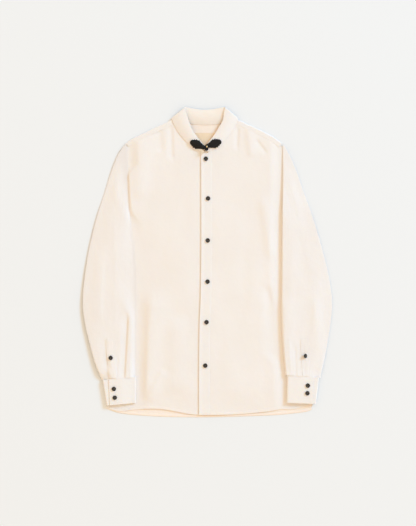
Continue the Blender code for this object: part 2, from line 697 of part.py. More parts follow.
def make_placket(name, line, side, end, height):
    """A strip on the sleeve beside the slit; side is 1 where it lies towards +X of the slit."""
    edge = resample(smooth_line(line), 14)
    slope = (end.outer_y - end.inner_y) / (end.outer_x - end.inner_x)
    points, faces = [], []
    shares = (0, 0.33, 0.67, 1)
    for k, (x, y) in enumerate(edge):
        for share in shares:
            px = x + side * PLACKET_WIDTH * share
            py = max(y, end.inner_y + slope * (px - end.inner_x) + GAP)
            under = max(height(px + dx, py + GAP) for dx in (-5, 0, 5))
            points.append((px, py, under + LAYER_GAP + CLOTH / 2))
    count = len(shares)
    for k in range(len(edge) - 1):
        for j in range(count - 1):
            here = k * count + j
            faces.append((here, here + 1, here + count + 1, here + count))
    return make_object(name, points, faces, SILK, CLOTH)


def make_button(button, height):
    """A round button with a raised rim and a dished face, turned about its axis."""
    tip = math.radians(TIPPED_BUTTONS.get(button.name, 0))
    ring = [(a * BUTTON_RADIUS * 0.8, b * BUTTON_RADIUS * 0.8) for a, b in ((1, 0), (-1, 0), (0, 1), (0, -1))]
    seat = GAP + 0.1 + max(height(button.x + dx * math.cos(tip), button.y + dy)
                           - (BUTTON_RADIUS - dx) * math.sin(tip) for dx, dy in ring)
    profile = [(0.55, 0.0), (0.9, 0.25), (1.0, 0.6), (0.88, 1.0), (0.62, 0.8)]
    segments = 14
    points, faces = [], []
    for radius, level in profile:
        for k in range(segments):
            a = 2 * math.pi * k / segments
            dx, dy = BUTTON_RADIUS * radius * math.cos(a), BUTTON_RADIUS * radius * math.sin(a)
            dz = BUTTON_THICK * level
            points.append((button.x + dx * math.cos(tip) + (dz - BUTTON_THICK / 2) * math.sin(tip), button.y + dy,
                           seat + (BUTTON_RADIUS - dx) * math.sin(tip) + dz * math.cos(tip)))
    for j in range(len(profile) - 1):
        for k in range(segments):
            here, after = j * segments + k, j * segments + (k + 1) % segments
            faces.append((here, after, after + segments, here + segments))
    faces.append(tuple(range(segments)))
    faces.append(tuple(range((len(profile) - 1) * segments, len(profile) * segments)))
    return make_object(button.name, points, faces, BLACK_BUTTON)


def leaf_outline(root, angle):
    """A pointed leaf with shallow lobes, from its root along an angle in degrees."""
    steps = 4 * LEAF_LOBES
    ahead = np.array([math.cos(math.radians(angle)), math.sin(math.radians(angle))])
    side = np.array([-ahead[1], ahead[0]])
    upper, lower = [], []
    for k in range(1, steps):
        t = k / steps
        lobe = 1 - 0.12 * abs(math.cos(math.pi * LEAF_LOBES * t))
        half = LEAF_WIDTH / 2 * np.interp(t, *zip(*LEAF_STATIONS)) * lobe
        spine = np.array(root) + ahead * LEAF_LENGTH * t
        upper.append(spine + side * half)
        lower.append(spine - side * half)
    tip = np.array(root) + ahead * LEAF_LENGTH
    return join([root], upper, [tip], lower[::-1])


def draped(height, slope=0.45, step=3.0):
    """Height of a stiff braid laid over the collar's front: it falls no faster than the slope."""
    x, y = np.meshgrid(np.arange(-62, 52, step), np.arange(268, 334, step))
    ground = np.array([[height(a, b) for a, b in zip(*row)] for row in zip(x, y)])
    return lambda px, py: max(height(px, py), float((ground - slope * np.hypot(x - px, y - py)).max()))


def make_leaf(name, root, angle, height):
    plan, faces, _ = fill(leaf_outline(root, angle), 4.5)
    points = [(x, y, height(x, y) + LEAF_GAP + LEAF_CLOTH / 2) for x, y in plan]
    return make_object(name, points, faces, BLACK_CORD, LEAF_CLOTH)


def make_ball(name, centre, radius, height, look, squash):
    """A rounded bead that sits on what lies under it."""
    seat = 0.0
    for share in (0, 0.3, 0.6, 0.75, 0.85, 0.95):
        rise = radius * squash * (1 - math.sqrt(1 - share**2))
        for a in np.radians(range(0, 360, 6)):
            x, y = centre.x + radius * share * math.cos(a), centre.y + radius * share * math.sin(a)
            seat = max(seat, height(x, y) + BALL_GAP - rise)
    ball = bmesh.new()
    bmesh.ops.create_uvsphere(ball, u_segments=12, v_segments=7, radius=radius)
    points = [(centre.x + v.co.x, centre.y + v.co.y, seat + radius * squash + v.co.z * squash) for v in ball.verts]
    faces = [tuple(v.index for v in f.verts) for f in ball.faces]
    ball.free()
    return make_object(name, points, faces, look)


def make_label():
    """A blank woven label on the inside of the yoke."""
    wide, high = LABEL_SIZE
    xs, ys = np.linspace(-wide / 2, wide / 2, 4), np.linspace(-high / 2, high / 2, 3)
    z = CLOTH + GAP + CLOTH / 2
    points = [(LABEL_CENTRE.x + x, LABEL_CENTRE.y + y, z) for y in ys for x in xs]
    faces = [(r * 4 + c, r * 4 + c + 1, r * 4 + c + 5, r * 4 + c + 4) for r in range(2) for c in range(3)]
    return make_object("neck_label", points, faces, LABEL_WEAVE, CLOTH)


def main():
    clear_scene()
    outline = body_outline()
    make_back()
    make_yoke()
    make_right_front()
    left_front = make_left_front()
    band = make_front_band()
    collar = make_collar()
    make_label()
    right_sleeve = make_sleeve("right_sleeve", RIGHT_SLEEVE, RIGHT_SLEEVE_FOLDS, outline)
    left_sleeve = make_sleeve("left_sleeve", LEFT_SLEEVE, LEFT_SLEEVE_FOLDS, outline)
    cuffs = [make_cuff("right_cuff", RIGHT_CUFF), make_cuff("left_cuff", LEFT_CUFF)]
    bpy.context.view_layer.update()
    sleeves = top_of(right_sleeve, left_sleeve)
    plackets = [make_placket("right_sleeve_placket", RIGHT_PLACKET, 1, RIGHT_SLEEVE[-1], sleeves),
                make_placket("left_sleeve_placket", LEFT_PLACKET, -1, LEFT_SLEEVE[-1], sleeves)]
    leaf_ground = draped(top_of(collar, band, left_front))
    leaves = [make_leaf("right_frog_leaf", RIGHT_LEAF_ROOT, RIGHT_LEAF_ANGLE, leaf_ground),
              make_leaf("left_frog_leaf", LEFT_LEAF_ROOT, LEFT_LEAF_ANGLE, leaf_ground)]
    bpy.context.view_layer.update()
    for buttons, ground in ((FRONT_BUTTONS, top_of(band)), (CUFF_BUTTONS, top_of(*cuffs)),
                            (PLACKET_BUTTONS, top_of(*plackets))):
        for button in buttons:
            make_button(button, ground)
    knot = make_ball("frog_knot", KNOT, KNOT_RADIUS, top_of(collar, band, *leaves), BLACK_CORD, 0.7)
    bpy.context.view_layer.update()
    make_ball("frog_bead", BEAD, BEAD_RADIUS, top_of(knot, collar, *leaves), GOLD, 1.0)


main()
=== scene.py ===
import math
from collections import namedtuple

import bmesh
import bpy
import numpy as np
from numpy.linalg import norm
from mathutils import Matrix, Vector
from mathutils.bvhtree import BVHTree


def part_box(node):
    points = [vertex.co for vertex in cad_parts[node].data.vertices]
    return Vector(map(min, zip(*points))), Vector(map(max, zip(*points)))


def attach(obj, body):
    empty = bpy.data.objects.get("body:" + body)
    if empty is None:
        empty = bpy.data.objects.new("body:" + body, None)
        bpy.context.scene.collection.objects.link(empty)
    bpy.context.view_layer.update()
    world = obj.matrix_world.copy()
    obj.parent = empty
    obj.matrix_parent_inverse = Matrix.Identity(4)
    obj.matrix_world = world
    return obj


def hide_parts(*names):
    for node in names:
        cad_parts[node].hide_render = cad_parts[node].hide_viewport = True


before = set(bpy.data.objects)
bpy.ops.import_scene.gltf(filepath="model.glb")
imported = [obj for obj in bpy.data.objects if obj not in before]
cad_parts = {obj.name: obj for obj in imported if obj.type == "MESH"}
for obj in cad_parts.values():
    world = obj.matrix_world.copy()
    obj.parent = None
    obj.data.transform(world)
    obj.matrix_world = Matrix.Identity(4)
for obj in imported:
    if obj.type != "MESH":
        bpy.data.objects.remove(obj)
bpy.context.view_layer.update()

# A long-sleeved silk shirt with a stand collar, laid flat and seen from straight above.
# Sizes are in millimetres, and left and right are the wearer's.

MM = 0.001
# Points of a smooth line from one row of its table to the next
PER_SPAN = 8
# Waves in a ripple
WAVES = 9

# Walls and clearances
CLOTH = 1.0
BAND_CLOTH = 1.4
GAP = 0.3
LAYER_GAP = 0.5

# Heights of the mid-surfaces of the body
BACK_MID = CLOTH / 2
FRONT_LOW = CLOTH + GAP + CLOTH / 2
PUFF = 3.1
FRONT_TOP = FRONT_LOW + PUFF
BAND_RISE = CLOTH / 2 + LAYER_GAP + BAND_CLOTH / 2
FOLD_RADIUS = (FRONT_TOP - BACK_MID) / 2
YOKE_STRIP = 9.0
YOKE_DEPTH_Y = 268.0
BAND_WIDTH = 29.0
NECK_UNDER = 1.5
BAND_LIFT = 0.7
NECK_REACH = 84.0
YOKE_SPAN = (-211, 196.5)
HEM_LOWEST = -389.8

# Where the fronts rise from a sleeve's edge steeply, gently or after a dip: from a height, over a length,
# up to another, over a length. Then the rise's start and its two widths
STEEP_PART = (95, 40, 250, 30)
GENTLE_PART = (-120, 70, 150, 140)
DIP_PART = (-265, 40, -95, 40)
RISE_START = 4.0
SHARP_WIDTH = 28.0
GENTLE_WIDTH = 100.0

# Sleeves and cuffs
SLEEVE_LIFT = 3.3
EDGE_BULK = 1.4
SLEEVE_SLOPE = 60.0
SLEEVE_MARGIN = 18.0
SLEEVE_REST = 2.2
SLEEVE_LAP = 1.0
SLEEVE_HALF = 0.3
CUFF_BULK = 7.2
CUFF_CLOTH = 1.2
CUFF_GAP = 3.5
CUFF_OVERLAP = 27.0

# Half thicknesses of the cloth, of its hems and of the backed bands
SHEET_HALF = 0.4
HEM_HALF = 0.62
HEM_DEPTH = 6.0
NEAR_HEM = [0, 0.3, 0.9, 2, 3.4, HEM_DEPTH - 0.5, HEM_DEPTH, HEM_DEPTH + 0.5, 8.2]
HEM_ROW = 6
BAND_HALF = 0.62
STITCH_IN = 2.2
COLLAR_HALF = 0.7
CUFF_HALF = 0.58
LABEL_HALF = 0.32

# Stitches
STITCH_PITCH = 2.7
STITCH_LENGTH = 1.9
STITCH_RADIUS = 0.17

BUTTON_RADIUS = 5.6
BUTTON_THICK = 2.4
BUTTON_FACE = 0.69
HOLE_OFFSET = 1.15
HOLE_RADIUS = 0.62
HOLE_HALF_LENGTH = 7.5

Side = namedtuple("Side", "name shoulder armhole seam sections folds seed soft cuff press cuff_seed placket "
                          "inward placket_half")

RIGHT_SHOULDER = [
    (-205.4, 304.6), (-194, 313), (-179, 320), (-140, 339), (-113, 351.5), (-97, 359.5), (-89.5, 363.5),
]
LEFT_SHOULDER = [
    (187.6, 303.4), (170, 317), (152, 327), (124, 341), (101, 351), (88, 357.5), (78.5, 361.5),
]
FRONT_NECK = [
    (-90, 361), (-84.4, 347), (-73.7, 329), (-59.4, 311), (-42, 294), (-23, 282.3), (-6.6, 278.6),
    (9.8, 282.3), (28.8, 294), (46.2, 311), (60.5, 329), (71.2, 347), (76.8, 361),
]
BACK_NECK = [
    (-87, 362), (-74, 358.5), (-52, 353.5), (-29, 351.2), (-6.6, 350.6), (16, 351.2), (39, 353.5),
    (61, 358), (76, 360.5),
]
RIGHT_ARMHOLE = [
    (-206, 302), (-210.4, 286), (-212.2, 247), (-212.9, 184), (-222, 143), (-241, 113.5), (-261, 102),
]
LEFT_ARMHOLE = [
    (188.5, 301), (195, 286), (198.9, 247), (200.2, 184), (209, 143), (231, 113.5), (259, 102),
]
RIGHT_SIDE = [(-261, 102), (-258, -130), (-257, -374)]
LEFT_SIDE = [(259, 102), (262, -130), (266.5, -376.5)]
BAND_EDGE = [(-16.5, 290), (-16, 60), (-17.5, -80), (-20.5, -165), (-21.7, -275), (-21.7, -392)]
FRONT_HEM = [
    (-256, -373), (-225, -381), (-190, -377.5), (-150, -374.5), (-118, -375.5), (-78, -382), (-50, -387.5),
    (-21.7, -389.8), (44.6, -389.6), (90, -387.6), (124, -384.8), (159, -380.7), (187, -376), (210, -376.5),
    (236, -372.3), (265, -362),
]
BACK_HEM = [
    (-257, -374), (-233, -383), (-213, -387), (-172, -391), (-131, -393.5), (-70, -395.3), (0, -395.5),
    (73, -394), (154, -391), (195, -388.5), (236, -384), (258, -380.5), (266.5, -376.5),
]
# A sleeve's sections: x and y of its edge on the body, x and y of its outer edge, its crown
RIGHT_SLEEVE = [
    (-198, 115, -206.8, 304, 0.3), (-197.2, 102, -224.4, 280.5, 0.8), (-194.8, 84, -242.3, 240, 1.1),
    (-191.2, 61, -261.4, 181, 1.3), (-187, 31, -281.8, 117, 1.4), (-183.4, -10, -299.6, 46, 1.4),
    (-181.6, -59, -312.4, -31, 1.4), (-181.6, -110, -318, -102, 1.4), (-182.2, -161, -312.4, -156, 1.4),
    (-182.3, -212, -299, -212, 1.2), (-182.3, -255, -285.6, -260, 1.0), (-182.3, -292.2, -269, -300.4, 0.6),
]
LEFT_SLEEVE = [
    (190.8, 119, 191.5, 302, 0.3), (191.4, 105, 205, 280.5, 0.8), (190.8, 87, 223.9, 240, 1.1),
    (190.2, 61, 243.5, 184, 1.3), (189.8, 31, 266.5, 120, 1.4), (189.3, -10, 288.2, 48.5, 1.4),
    (188.7, -59, 307.3, -25.5, 1.4), (188.2, -110, 318, -97, 1.4), (189.2, -161, 314.2, -153, 1.4),
    (192.2, -212, 305.5, -209, 1.2), (195.6, -252.5, 296.6, -255, 1.0), (199.2, -286.9, 287.6, -294.5, 0.6),
]
CENTRE_X = -6.6
# The collar's right half: x, y and z at the seam, and x, y and z at the top
COLLAR_RIBS = [
    (-7.7, 279.8, 8.6, -7.7, 291.4, 9.8), (-12.9, 280.6, 8.6, -10.8, 299.2, 10.2),
    (-23.0, 283.4, 8.0, -17.6, 307.5, 10.4), (-42.0, 294.8, 7.2, -29.8, 323.3, 10.7),
    (-59.4, 311.8, 7.0, -40.3, 340.2, 11.0), (-73.7, 329.8, 6.9, -48.2, 361.0, 11.3),
    (-84.4, 347.8, 6.9, -53.8, 379.0, 11.4), (-89.6, 360.5, 6.9, -57.0, 389.6, 11.2),
    (-91.0, 365.8, 5.6, -57.4, 393.4, 9.0), (-87.0, 365.6, 4.4, -54.6, 394.4, 6.2),
    (-74.0, 359.6, 1.8, -45.0, 392.8, 5.2), (-52.0, 353.6, 1.2, -31.5, 390.2, 4.8),
    (-29.0, 350.6, 1.2, -19.0, 388.5, 4.6), (-6.6, 349.8, 1.2, -6.6, 387.9, 4.6),
]
COLLAR_BOW = 2.0
SEAM_RISE = 1.0
FRONT_SEAM_LEAST = 6.0
LEFT_TOP_BOW = 3.8
LEFT_TOP_DROP = 1.8
# A cuff's top and its end: points on its edge on the body, on its outer edge and on its overlap
RIGHT_CUFF = [[(-182.4, -292.7), (-267.0, -300.8), (-251.5, -299.3)],
              [(-183.4, -359.0), (-256.5, -365.5), (-248.5, -364.8)]]
LEFT_CUFF = [[(203.3, -287.8), (284.0, -294.8), (269.5, -293.4)],
             [(201.8, -358.5), (275.6, -361.5), (267.5, -361.0)]]
PLACKET_WIDTH = 20.0
RIGHT_PLACKET = [(-258, -199), (-257.5, -232), (-254, -262), (-251, -296)]
LEFT_PLACKET = [(257, -196), (258, -230), (260.5, -262), (262.5, -291)]

# Folds from the top down: x and y of both ends, the widths on the wearer's right and left of the line, and
# the height, which is below 0 in a trough
FRONT_FOLDS = [
    (-93, 357, -90, 262, 9, 4.5, -1.5), (-121, 345, -120, 282, 12, 8, -1.2),
    (-172, 335, -173, 165, 17, 26, 2.0), (-135, -40, -156, -345, 14, 36, 3.6),
    (-78, -125, -84, -330, 26, 34, 2.9), (-108, -268, -152, -352, 9, 18, 1.8),
    (-60, 120, -66, -120, 34, 30, 0.8), (-40, 250, -38, 60, 16, 20, 0.4), (78, 350, 75, 290, 7, 4, -1.4),
    (101, 352, 112, 270, 9, 14, 1.6), (122, 314, 150, 278, 7, 4, -1.3), (140, 175, 162, 15, 13, 18, 2.2),
    (150, -50, 177, -190, 14, 8, -2.6), (70, 150, 78, -100, 30, 26, 0.8), (60, -150, 66, -350, 26, 30, 0.7),
    (150, -230, 140, -360, 16, 14, -0.6), (110, 60, 118, -120, 16, 22, 0.6),
    (30, -200, 32, -370, 14, 14, -0.4),
]
RIGHT_SLEEVE_FOLDS = [
    (-198, 90, -194, -150, 30, 16, 0.8), (-240, 150, -236, -190, 30, 12, 1.2),
    (-270, 40, -276, -150, 26, 9, 1.0), (-203, -115, -213, -300, 11, 3.0, -2.9),
    (-259, -190, -251.5, -300, 8, 2.4, -2.8), (-286, 60, -300, -90, 12, 8, -0.6),
    (-228, 250, -232, 150, 14, 9, 0.7), (-228, -235, -231, -300, 4, 2.5, -0.5),
    (-190, -220, -192, -300, 5, 4, -0.4),
]
LEFT_SLEEVE_FOLDS = [
    (272, -70, 297, -290, 20, 9, 2.3), (222, -205, 226, -298, 5, 3, -0.7),
    (236, 100, 250, -60, 18, 14, -0.5), (212, 40, 214, -120, 14, 14, 0.4),
    (244, -200, 248, -296, 4, 3, -0.5), (208, -190, 212, -292, 5, 4, 0.5),
    (197, -80, 200, -265, 9, 24, 2.2),
]

FRONT_BUTTONS = {
    "front_button_1": (-4.2, 262.9), "front_button_2": (1.5, 162), "front_button_3": (0.7, 54.9),
    "front_button_4": (0.2, -50), "front_button_5": (-2.5, -153.4), "front_button_6": (-5.6, -263.9),
}
CUFF_BUTTONS = {
    "right_cuff_button_1": (-238.3, -322.8), "right_cuff_button_2": (-235.9, -345.2),
    "left_cuff_button_1": (255.3, -314.4), "left_cuff_button_2": (254.2, -333.9),
}
PLACKET_BUTTONS = {"right_placket_button": (-246.5, -244.1), "left_placket_button": (248.9, -239.0)}
# Degrees that a button's left edge is tipped up where it isn't flat
TIPPED_BUTTONS = {"left_placket_button": 40.0}

LEAF_LENGTH = 40.0
LEAF_WIDTH = 24.0
# Along a leaf's length, its half width as shares of both
LEAF_STATIONS = [(0.0, 0.35), (0.28, 0.58), (0.5, 0.93), (0.68, 0.9), (0.84, 0.66), (1.0, 0.36)]
LEAF_CORDS = 26
CORD_SLANT = 0.8
LEAF_GAP = 0.9
BRAID_SLOPE = 0.45
RIGHT_LEAF_ROOT = (-6.8, 290.0)
LEFT_LEAF_ROOT = (-3.4, 293.8)
RIGHT_LEAF_ANGLE = 156.0
LEFT_LEAF_ANGLE = 19.0
BEAD_RADIUS = 2.2
# Path of a tan cord along the warm shadow under the collar's end: painted shadow
FROG_SHADOW_LINE = [(-13.5, 286.2), (-6.5, 282.4), (-0.5, 280.4), (1.2, 279.2)]
LABEL_X, LABEL_Y = -6.6, 310.5
LABEL_SIZE = (66.0, 38.0)

# For each side: its lines; the sleeve, its folds, the seed of its waves and how far its edge on the body
# slopes up; the cuff, how much lower it lies at its fold, and its seed; the placket, the way across it and
# its half thickness
SIDES = [
    Side("right", RIGHT_SHOULDER, RIGHT_ARMHOLE, RIGHT_SIDE, RIGHT_SLEEVE, RIGHT_SLEEVE_FOLDS, 21, 52.0,
         RIGHT_CUFF, 3.0, 41, RIGHT_PLACKET, 1, 0.45),
    Side("left", LEFT_SHOULDER, LEFT_ARMHOLE, LEFT_SIDE, LEFT_SLEEVE, LEFT_SLEEVE_FOLDS, 31, 0.0,
         LEFT_CUFF, 0.0, 43, LEFT_PLACKET, -1, 0.24),
]

# Light and camera
KEY_PLACE = (13.2, 10.2, 8.9)
KEY_SIZE = 5.6
KEY_POWER = 2980
KEY_COLOUR = (0.199, 0.563, 1.0)
WORLD_COLOUR = (1.0, 0.853, 0.674)
WORLD_STRENGTH = 1.044
FLOOR_REACH = 6
FLOOR_COLOUR = (0.80, 0.80, 0.788)
LENS = 85
SENSOR = 36
VIEW_WIDTH = 1.3413
VIEW_CENTRE = (0.0013, -0.0026)


# Lines and heights

def row_at(rows, at):
    """The row at a real-valued place in a table, on a Catmull-Rom line through its columns."""
    table = np.array(rows, float)
    i = min(int(at), len(table) - 2)
    f = at - i
    before, here, then, after = (table[min(max(k, 0), len(table) - 1)] for k in (i - 1, i, i + 1, i + 2))
    return 0.5 * (
        2 * here
        + (then - before) * f
        + (2 * before - 5 * here + 4 * then - after) * f**2
        + (3 * here - before - 3 * then + after) * f**3
    )


def smooth_line(rows):
    return np.array([row_at(rows, k / PER_SPAN) for k in range((len(rows) - 1) * PER_SPAN + 1)])


def run_along(line):
    return np.concatenate([[0], np.cumsum(norm(np.diff(line, axis=0), axis=1))])


def resample(line, step):
    """The line with evenly spaced points."""
    run = run_along(line)
    at = np.linspace(0, run[-1], max(1, round(run[-1] / step)) + 1)
    return np.stack([np.interp(at, run, line[:, k]) for k in range(line.shape[1])], axis=1)


def inward(line):
    """Unit normals of a shoulder line, into the body."""
    ahead = np.gradient(line, axis=0)
    normal = np.stack([-ahead[:, 1], ahead[:, 0]], axis=1)
    normal /= np.hypot(*normal.T)[:, None]
    return normal * np.where(normal[:, 1:] > 0, -1, 1)


def ease(value):
    """0 below 0, 1 above 1 and a smooth step between."""
    t = np.clip(value, 0, 1)
    return t * t * (3 - 2 * t)


def within(value, low, low_ease, high, high_ease):
    """1 between two values, easing to 0 outside them."""
    return ease((value - low) / low_ease) * ease((high - value) / high_ease)


def bell(value, width):
    """1 at 0, falling on both sides."""
    return np.exp(-((value / width) ** 2))


def rounded(distance, radius):
    """Height of a quarter circle from its foot, 0 to 1."""
    return np.sqrt(np.clip(1 - (1 - np.clip(distance / radius, 0, 1)) ** 2, 0, 1))


def ripple(x, y, seed, across, along):
    """Soft uneven waves from -1 to 1, about as long as across in x and along in y."""
    dice = np.random.default_rng(seed)
    total = np.zeros(np.broadcast(x, y).shape)
    for _ in range(WAVES):
        kx = 2 * math.pi / (across * dice.uniform(0.6, 1.8)) * dice.choice([-1, 1])
        ky = 2 * math.pi / (along * dice.uniform(0.6, 1.8))
        total += np.sin(kx * x + ky * y + dice.uniform(0, 2 * math.pi))
    return total / math.sqrt(WAVES) / 1.4


def fold_height(x, y, folds):
    """Sum of the folds, each of which fades at both ends."""
    total = np.zeros(np.broadcast(x, y).shape)
    for x0, y0, x1, y1, near, far, high in folds:
        run = np.array([x1 - x0, y1 - y0], float)
        length = math.hypot(*run)
        along = ((x - x0) * run[0] + (y - y0) * run[1]) / length**2
        across = ((x - x0) * -run[1] + (y - y0) * run[0]) / length
        fade = ease(along * 4) * ease((1.08 - along) * 5)
        total = total + high * fade * bell(across, np.where(across < 0, near, far))
    return total


def inner_edge_x(side, y):
    line = [side.sections[0][2:4]] + [s[:2] for s in side.sections] + [side.cuff[1][0]]
    line = np.array(line)[::-1]
    return np.interp(y, line[:, 1], line[:, 0])


def front_z(x, y):
    """Mid-surface of the fronts: puffed, flat under the sleeves and low at the hem."""
    x, y = np.asarray(x, float), np.asarray(y, float)
    right, left = (inner_edge_x(side, y) for side in SIDES)
    steep, gentle, dip = within(y, *STEEP_PART), within(y, *GENTLE_PART), within(y, *DIP_PART)
    sharp = ease((x - right - RISE_START + 5 * steep) / (SHARP_WIDTH - 24 * steep))
    open_part = sharp + (ease((x - right - RISE_START) / GENTLE_WIDTH) - sharp) * gentle
    open_part = open_part * ease((left - x - 6 - 10 * dip) / (SHARP_WIDTH + 16 * dip))
    hem = 0.3 + 0.7 * ease((y - HEM_LOWEST) / 70)
    waves = 0.16 * ripple(x, y, 3, 75, 300) + 0.03 * ripple(x, y, 8, 26, 90)
    rise = (PUFF + fold_height(x, y, FRONT_FOLDS) + waves + steep * bell(x - right, 30)) * open_part * hem
    return FRONT_LOW + np.maximum(rise, 0)


BAND_LINE = smooth_line(BAND_EDGE)[::-1]


def band_edge_x(y):
    return np.interp(y, BAND_LINE[:, 1], BAND_LINE[:, 0])


def left_front_z(x, y):
    """The left front sinks from the height of the band to that of the right front."""
    beyond = np.asarray(x, float) - band_edge_x(y) - BAND_WIDTH
    return front_z(x, y) + BAND_RISE * (1 - ease(beyond / 90))


def band_z(x, y):
    return front_z(x, y) + BAND_RISE


def side_x(side, y, soften=0):
    """X of the side seam, then of the armhole above it, evened out if wanted."""
    line = np.vstack([smooth_line(side.armhole), smooth_line(side.seam)[1:]])[::-1]
    near = np.linspace(-soften, soften, 9)
    return sum(np.interp(y + d, line[:, 1], line[:, 0]) for d in near) / len(near)


def y_on(line, x):
    return np.interp(x, line[:, 0], line[:, 1])


HEM_LINE = smooth_line(FRONT_HEM)
BACK_HEM_LINE = smooth_line(BACK_HEM)
NECK_LINE = smooth_line(FRONT_NECK) + np.array([0, NECK_UNDER])
BACK_NECK_LINE = smooth_line(BACK_NECK)
OUTLINE = np.vstack([resample(line, 12) for line in [
    BACK_HEM_LINE, smooth_line(LEFT_SIDE)[::-1], smooth_line(LEFT_ARMHOLE)[::-1],
    smooth_line(LEFT_SHOULDER), BACK_NECK_LINE[::-1], smooth_line(RIGHT_SHOULDER)[::-1],
    smooth_line(RIGHT_ARMHOLE), smooth_line(RIGHT_SIDE),
]])


def inside_outline(x, y):
    """How far points lie inside the body; negative outside."""
    near = np.full(x.shape, 1e9)
    crossings = np.zeros(x.shape, int)
    for p, q in zip(OUTLINE, np.roll(OUTLINE, -1, axis=0)):
        side = q - p
        share = np.clip(((x - p[0]) * side[0] + (y - p[1]) * side[1]) / max(side @ side, 1e-12), 0, 1)
        near = np.minimum(near, np.hypot(x - p[0] - share * side[0], y - p[1] - share * side[1]))
        if p[1] != q[1]:
            crosses = (p[1] > y) != (q[1] > y)
            crossings += crosses & (x < p[0] + (y - p[1]) * side[0] / side[1])
    return np.where(crossings % 2 == 1, near, -near)


# Meshes

def add_object(name, data):
    obj = bpy.data.objects.new(name, data)
    bpy.context.scene.collection.objects.link(obj)
    return obj


def finish_piece(obj, sharp_angle, nodes, slot):
    """A piece is shaded, rides on the shirt and stands for its nodes; the slot is not used."""
    obj.data.shade_smooth()
    obj.data.set_sharp_from_angle(angle=math.radians(sharp_angle))
    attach(obj, "root")
    if nodes:
        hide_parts(*nodes)
    return obj


def mesh_of(name, points, faces):
    """A mesh from points in millimetres, with its faces turned outward."""
    mesh = bpy.data.meshes.new(name)
    mesh.from_pydata([tuple(float(c) * MM for c in p) for p in points], [], faces)
    tidy = bmesh.new()
    tidy.from_mesh(mesh)
    bmesh.ops.recalc_face_normals(tidy, faces=tidy.faces)
    tidy.to_mesh(mesh)
    tidy.free()
    return mesh


def add_piece(name, points, faces, material, nodes=(), slot=None):
    mesh = mesh_of(name, points, faces)
    mesh.materials.append(material)
    return finish_piece(add_object(name, mesh), 50, nodes, slot)


def grid_normals(grid, wrap):
    """Unit normals; wrap joins the last column to the first."""
    down = np.gradient(grid, axis=0)
    if wrap:
        ahead = (np.roll(grid, -1, axis=1) - np.roll(grid, 1, axis=1)) / 2
    else:
        ahead = np.gradient(grid, axis=1)
    normal = np.cross(down, ahead)
    return normal / np.maximum(norm(normal, axis=2, keepdims=True), 1e-9)


def shell(name, grid, half, material, nodes=(), slot=None, wrap=False, lining=None):
    """A closed piece of cloth about a grid of points, half as thick on each side.

    The lining is the material of the side that the grid's normals point to.
    """
    rows, cols = grid.shape[:2]
    half = np.broadcast_to(half, (rows, cols))[..., None]
    normal = grid_normals(grid, wrap)
    points = np.concatenate([(grid + normal * half).reshape(-1, 3), (grid - normal * half).reshape(-1, 3)])
    faces, base = [], rows * cols
    spans = cols if wrap else cols - 1
    for k in range(rows - 1):
        for j in range(spans):
            a, b = k * cols + j, k * cols + (j + 1) % cols
            faces.append((a, b, b + cols, a + cols))
            faces.append((base + a + cols, base + b + cols, base + b, base + a))
    rims = [(k * cols + j, k * cols + (j + 1) % cols) for j in range(spans) for k in (0, rows - 1)]
    if not wrap:
        rims += [(k * cols + j, (k + 1) * cols + j) for k in range(rows - 1) for j in (0, cols - 1)]
    faces += [(a, b, base + b, base + a) for a, b in rims]
    piece = add_piece(name, points, faces, material, nodes, slot)
    if lining:
        piece.data.materials.append(lining)
        for polygon in list(piece.data.polygons)[:2 * (rows - 1) * spans:2]:
            polygon.material_index = 1
    return piece


def tube(path, radius, sides=8, closed=False):
    """Points and faces of a round cord along a path; radius may be a list."""
    path = np.asarray(path, float)
    count = len(path)
    radius = np.broadcast_to(radius, count)
    if closed:
        ahead = np.roll(path, -1, axis=0) - np.roll(path, 1, axis=0)
    else:
        ahead = np.gradient(path, axis=0)
    ahead /= norm(ahead, axis=1, keepdims=True)
    up = np.tile([0.0, 0.0, 1.0], (count, 1))
    up[np.abs(ahead[:, 2]) > 0.95] = [1.0, 0.0, 0.0]
    side = np.cross(ahead, up)
    side /= norm(side, axis=1, keepdims=True)
    up = np.cross(side, ahead)
    angles = np.arange(sides) * 2 * math.pi / sides
    points = [p + r * (math.cos(a) * s + math.sin(a) * u)
              for p, r, s, u in zip(path, radius, side, up) for a in angles]
    faces = []
    for k in range(count if closed else count - 1):
        after = (k + 1) % count
        for j in range(sides):
            b = (j + 1) % sides
            faces.append((k * sides + j, k * sides + b, after * sides + b, after * sides + j))
    if not closed:
        faces.append(tuple(range(sides)))
        faces.append(tuple(range((count - 1) * sides, count * sides)))
    return points, faces


def gather(parts):
    points, faces = [], []
    for some_points, some_faces in parts:
        start = len(points)
        points += list(some_points)
        faces += [tuple(start + i for i in f) for f in some_faces]
    return points, faces


def make_stitches(lines):
    """Short raised stitches along lines on the cloth."""
    parts = []
    for line in lines:
        run = run_along(line)
        for start in np.arange(STITCH_PITCH / 2, run[-1] - STITCH_LENGTH, STITCH_PITCH):
            at = start + STITCH_LENGTH * np.array([0, 0.18, 0.82, 1])
            path = np.stack([np.interp(at, run, line[:, k]) for k in range(3)], axis=1)
            path[:, 2] += np.array([-0.12, 0.05, 0.05, -0.12])
            parts.append(tube(path, [0.05, STITCH_RADIUS, STITCH_RADIUS, 0.05], sides=5))
    add_piece("seam_stitches", *gather(parts), CREAM_THREAD)


FINE = np.array([0, 0.25, 0.7, 1.3, STITCH_IN - 0.4, STITCH_IN, STITCH_IN + 0.4, 3.4])


def edge_steps(width, step):
    """Distances across a strip, close together at both of its edges."""
    middle = np.linspace(FINE[-1], width - FINE[-1], max(2, round((width - 2 * FINE[-1]) / step) + 1))
    return np.concatenate([FINE, middle[1:-1], width - FINE[::-1]])


def from_ends(run):
    """Distances to the nearer end of a line, from the distances along it."""
    return np.minimum(run, run[-1] - run)


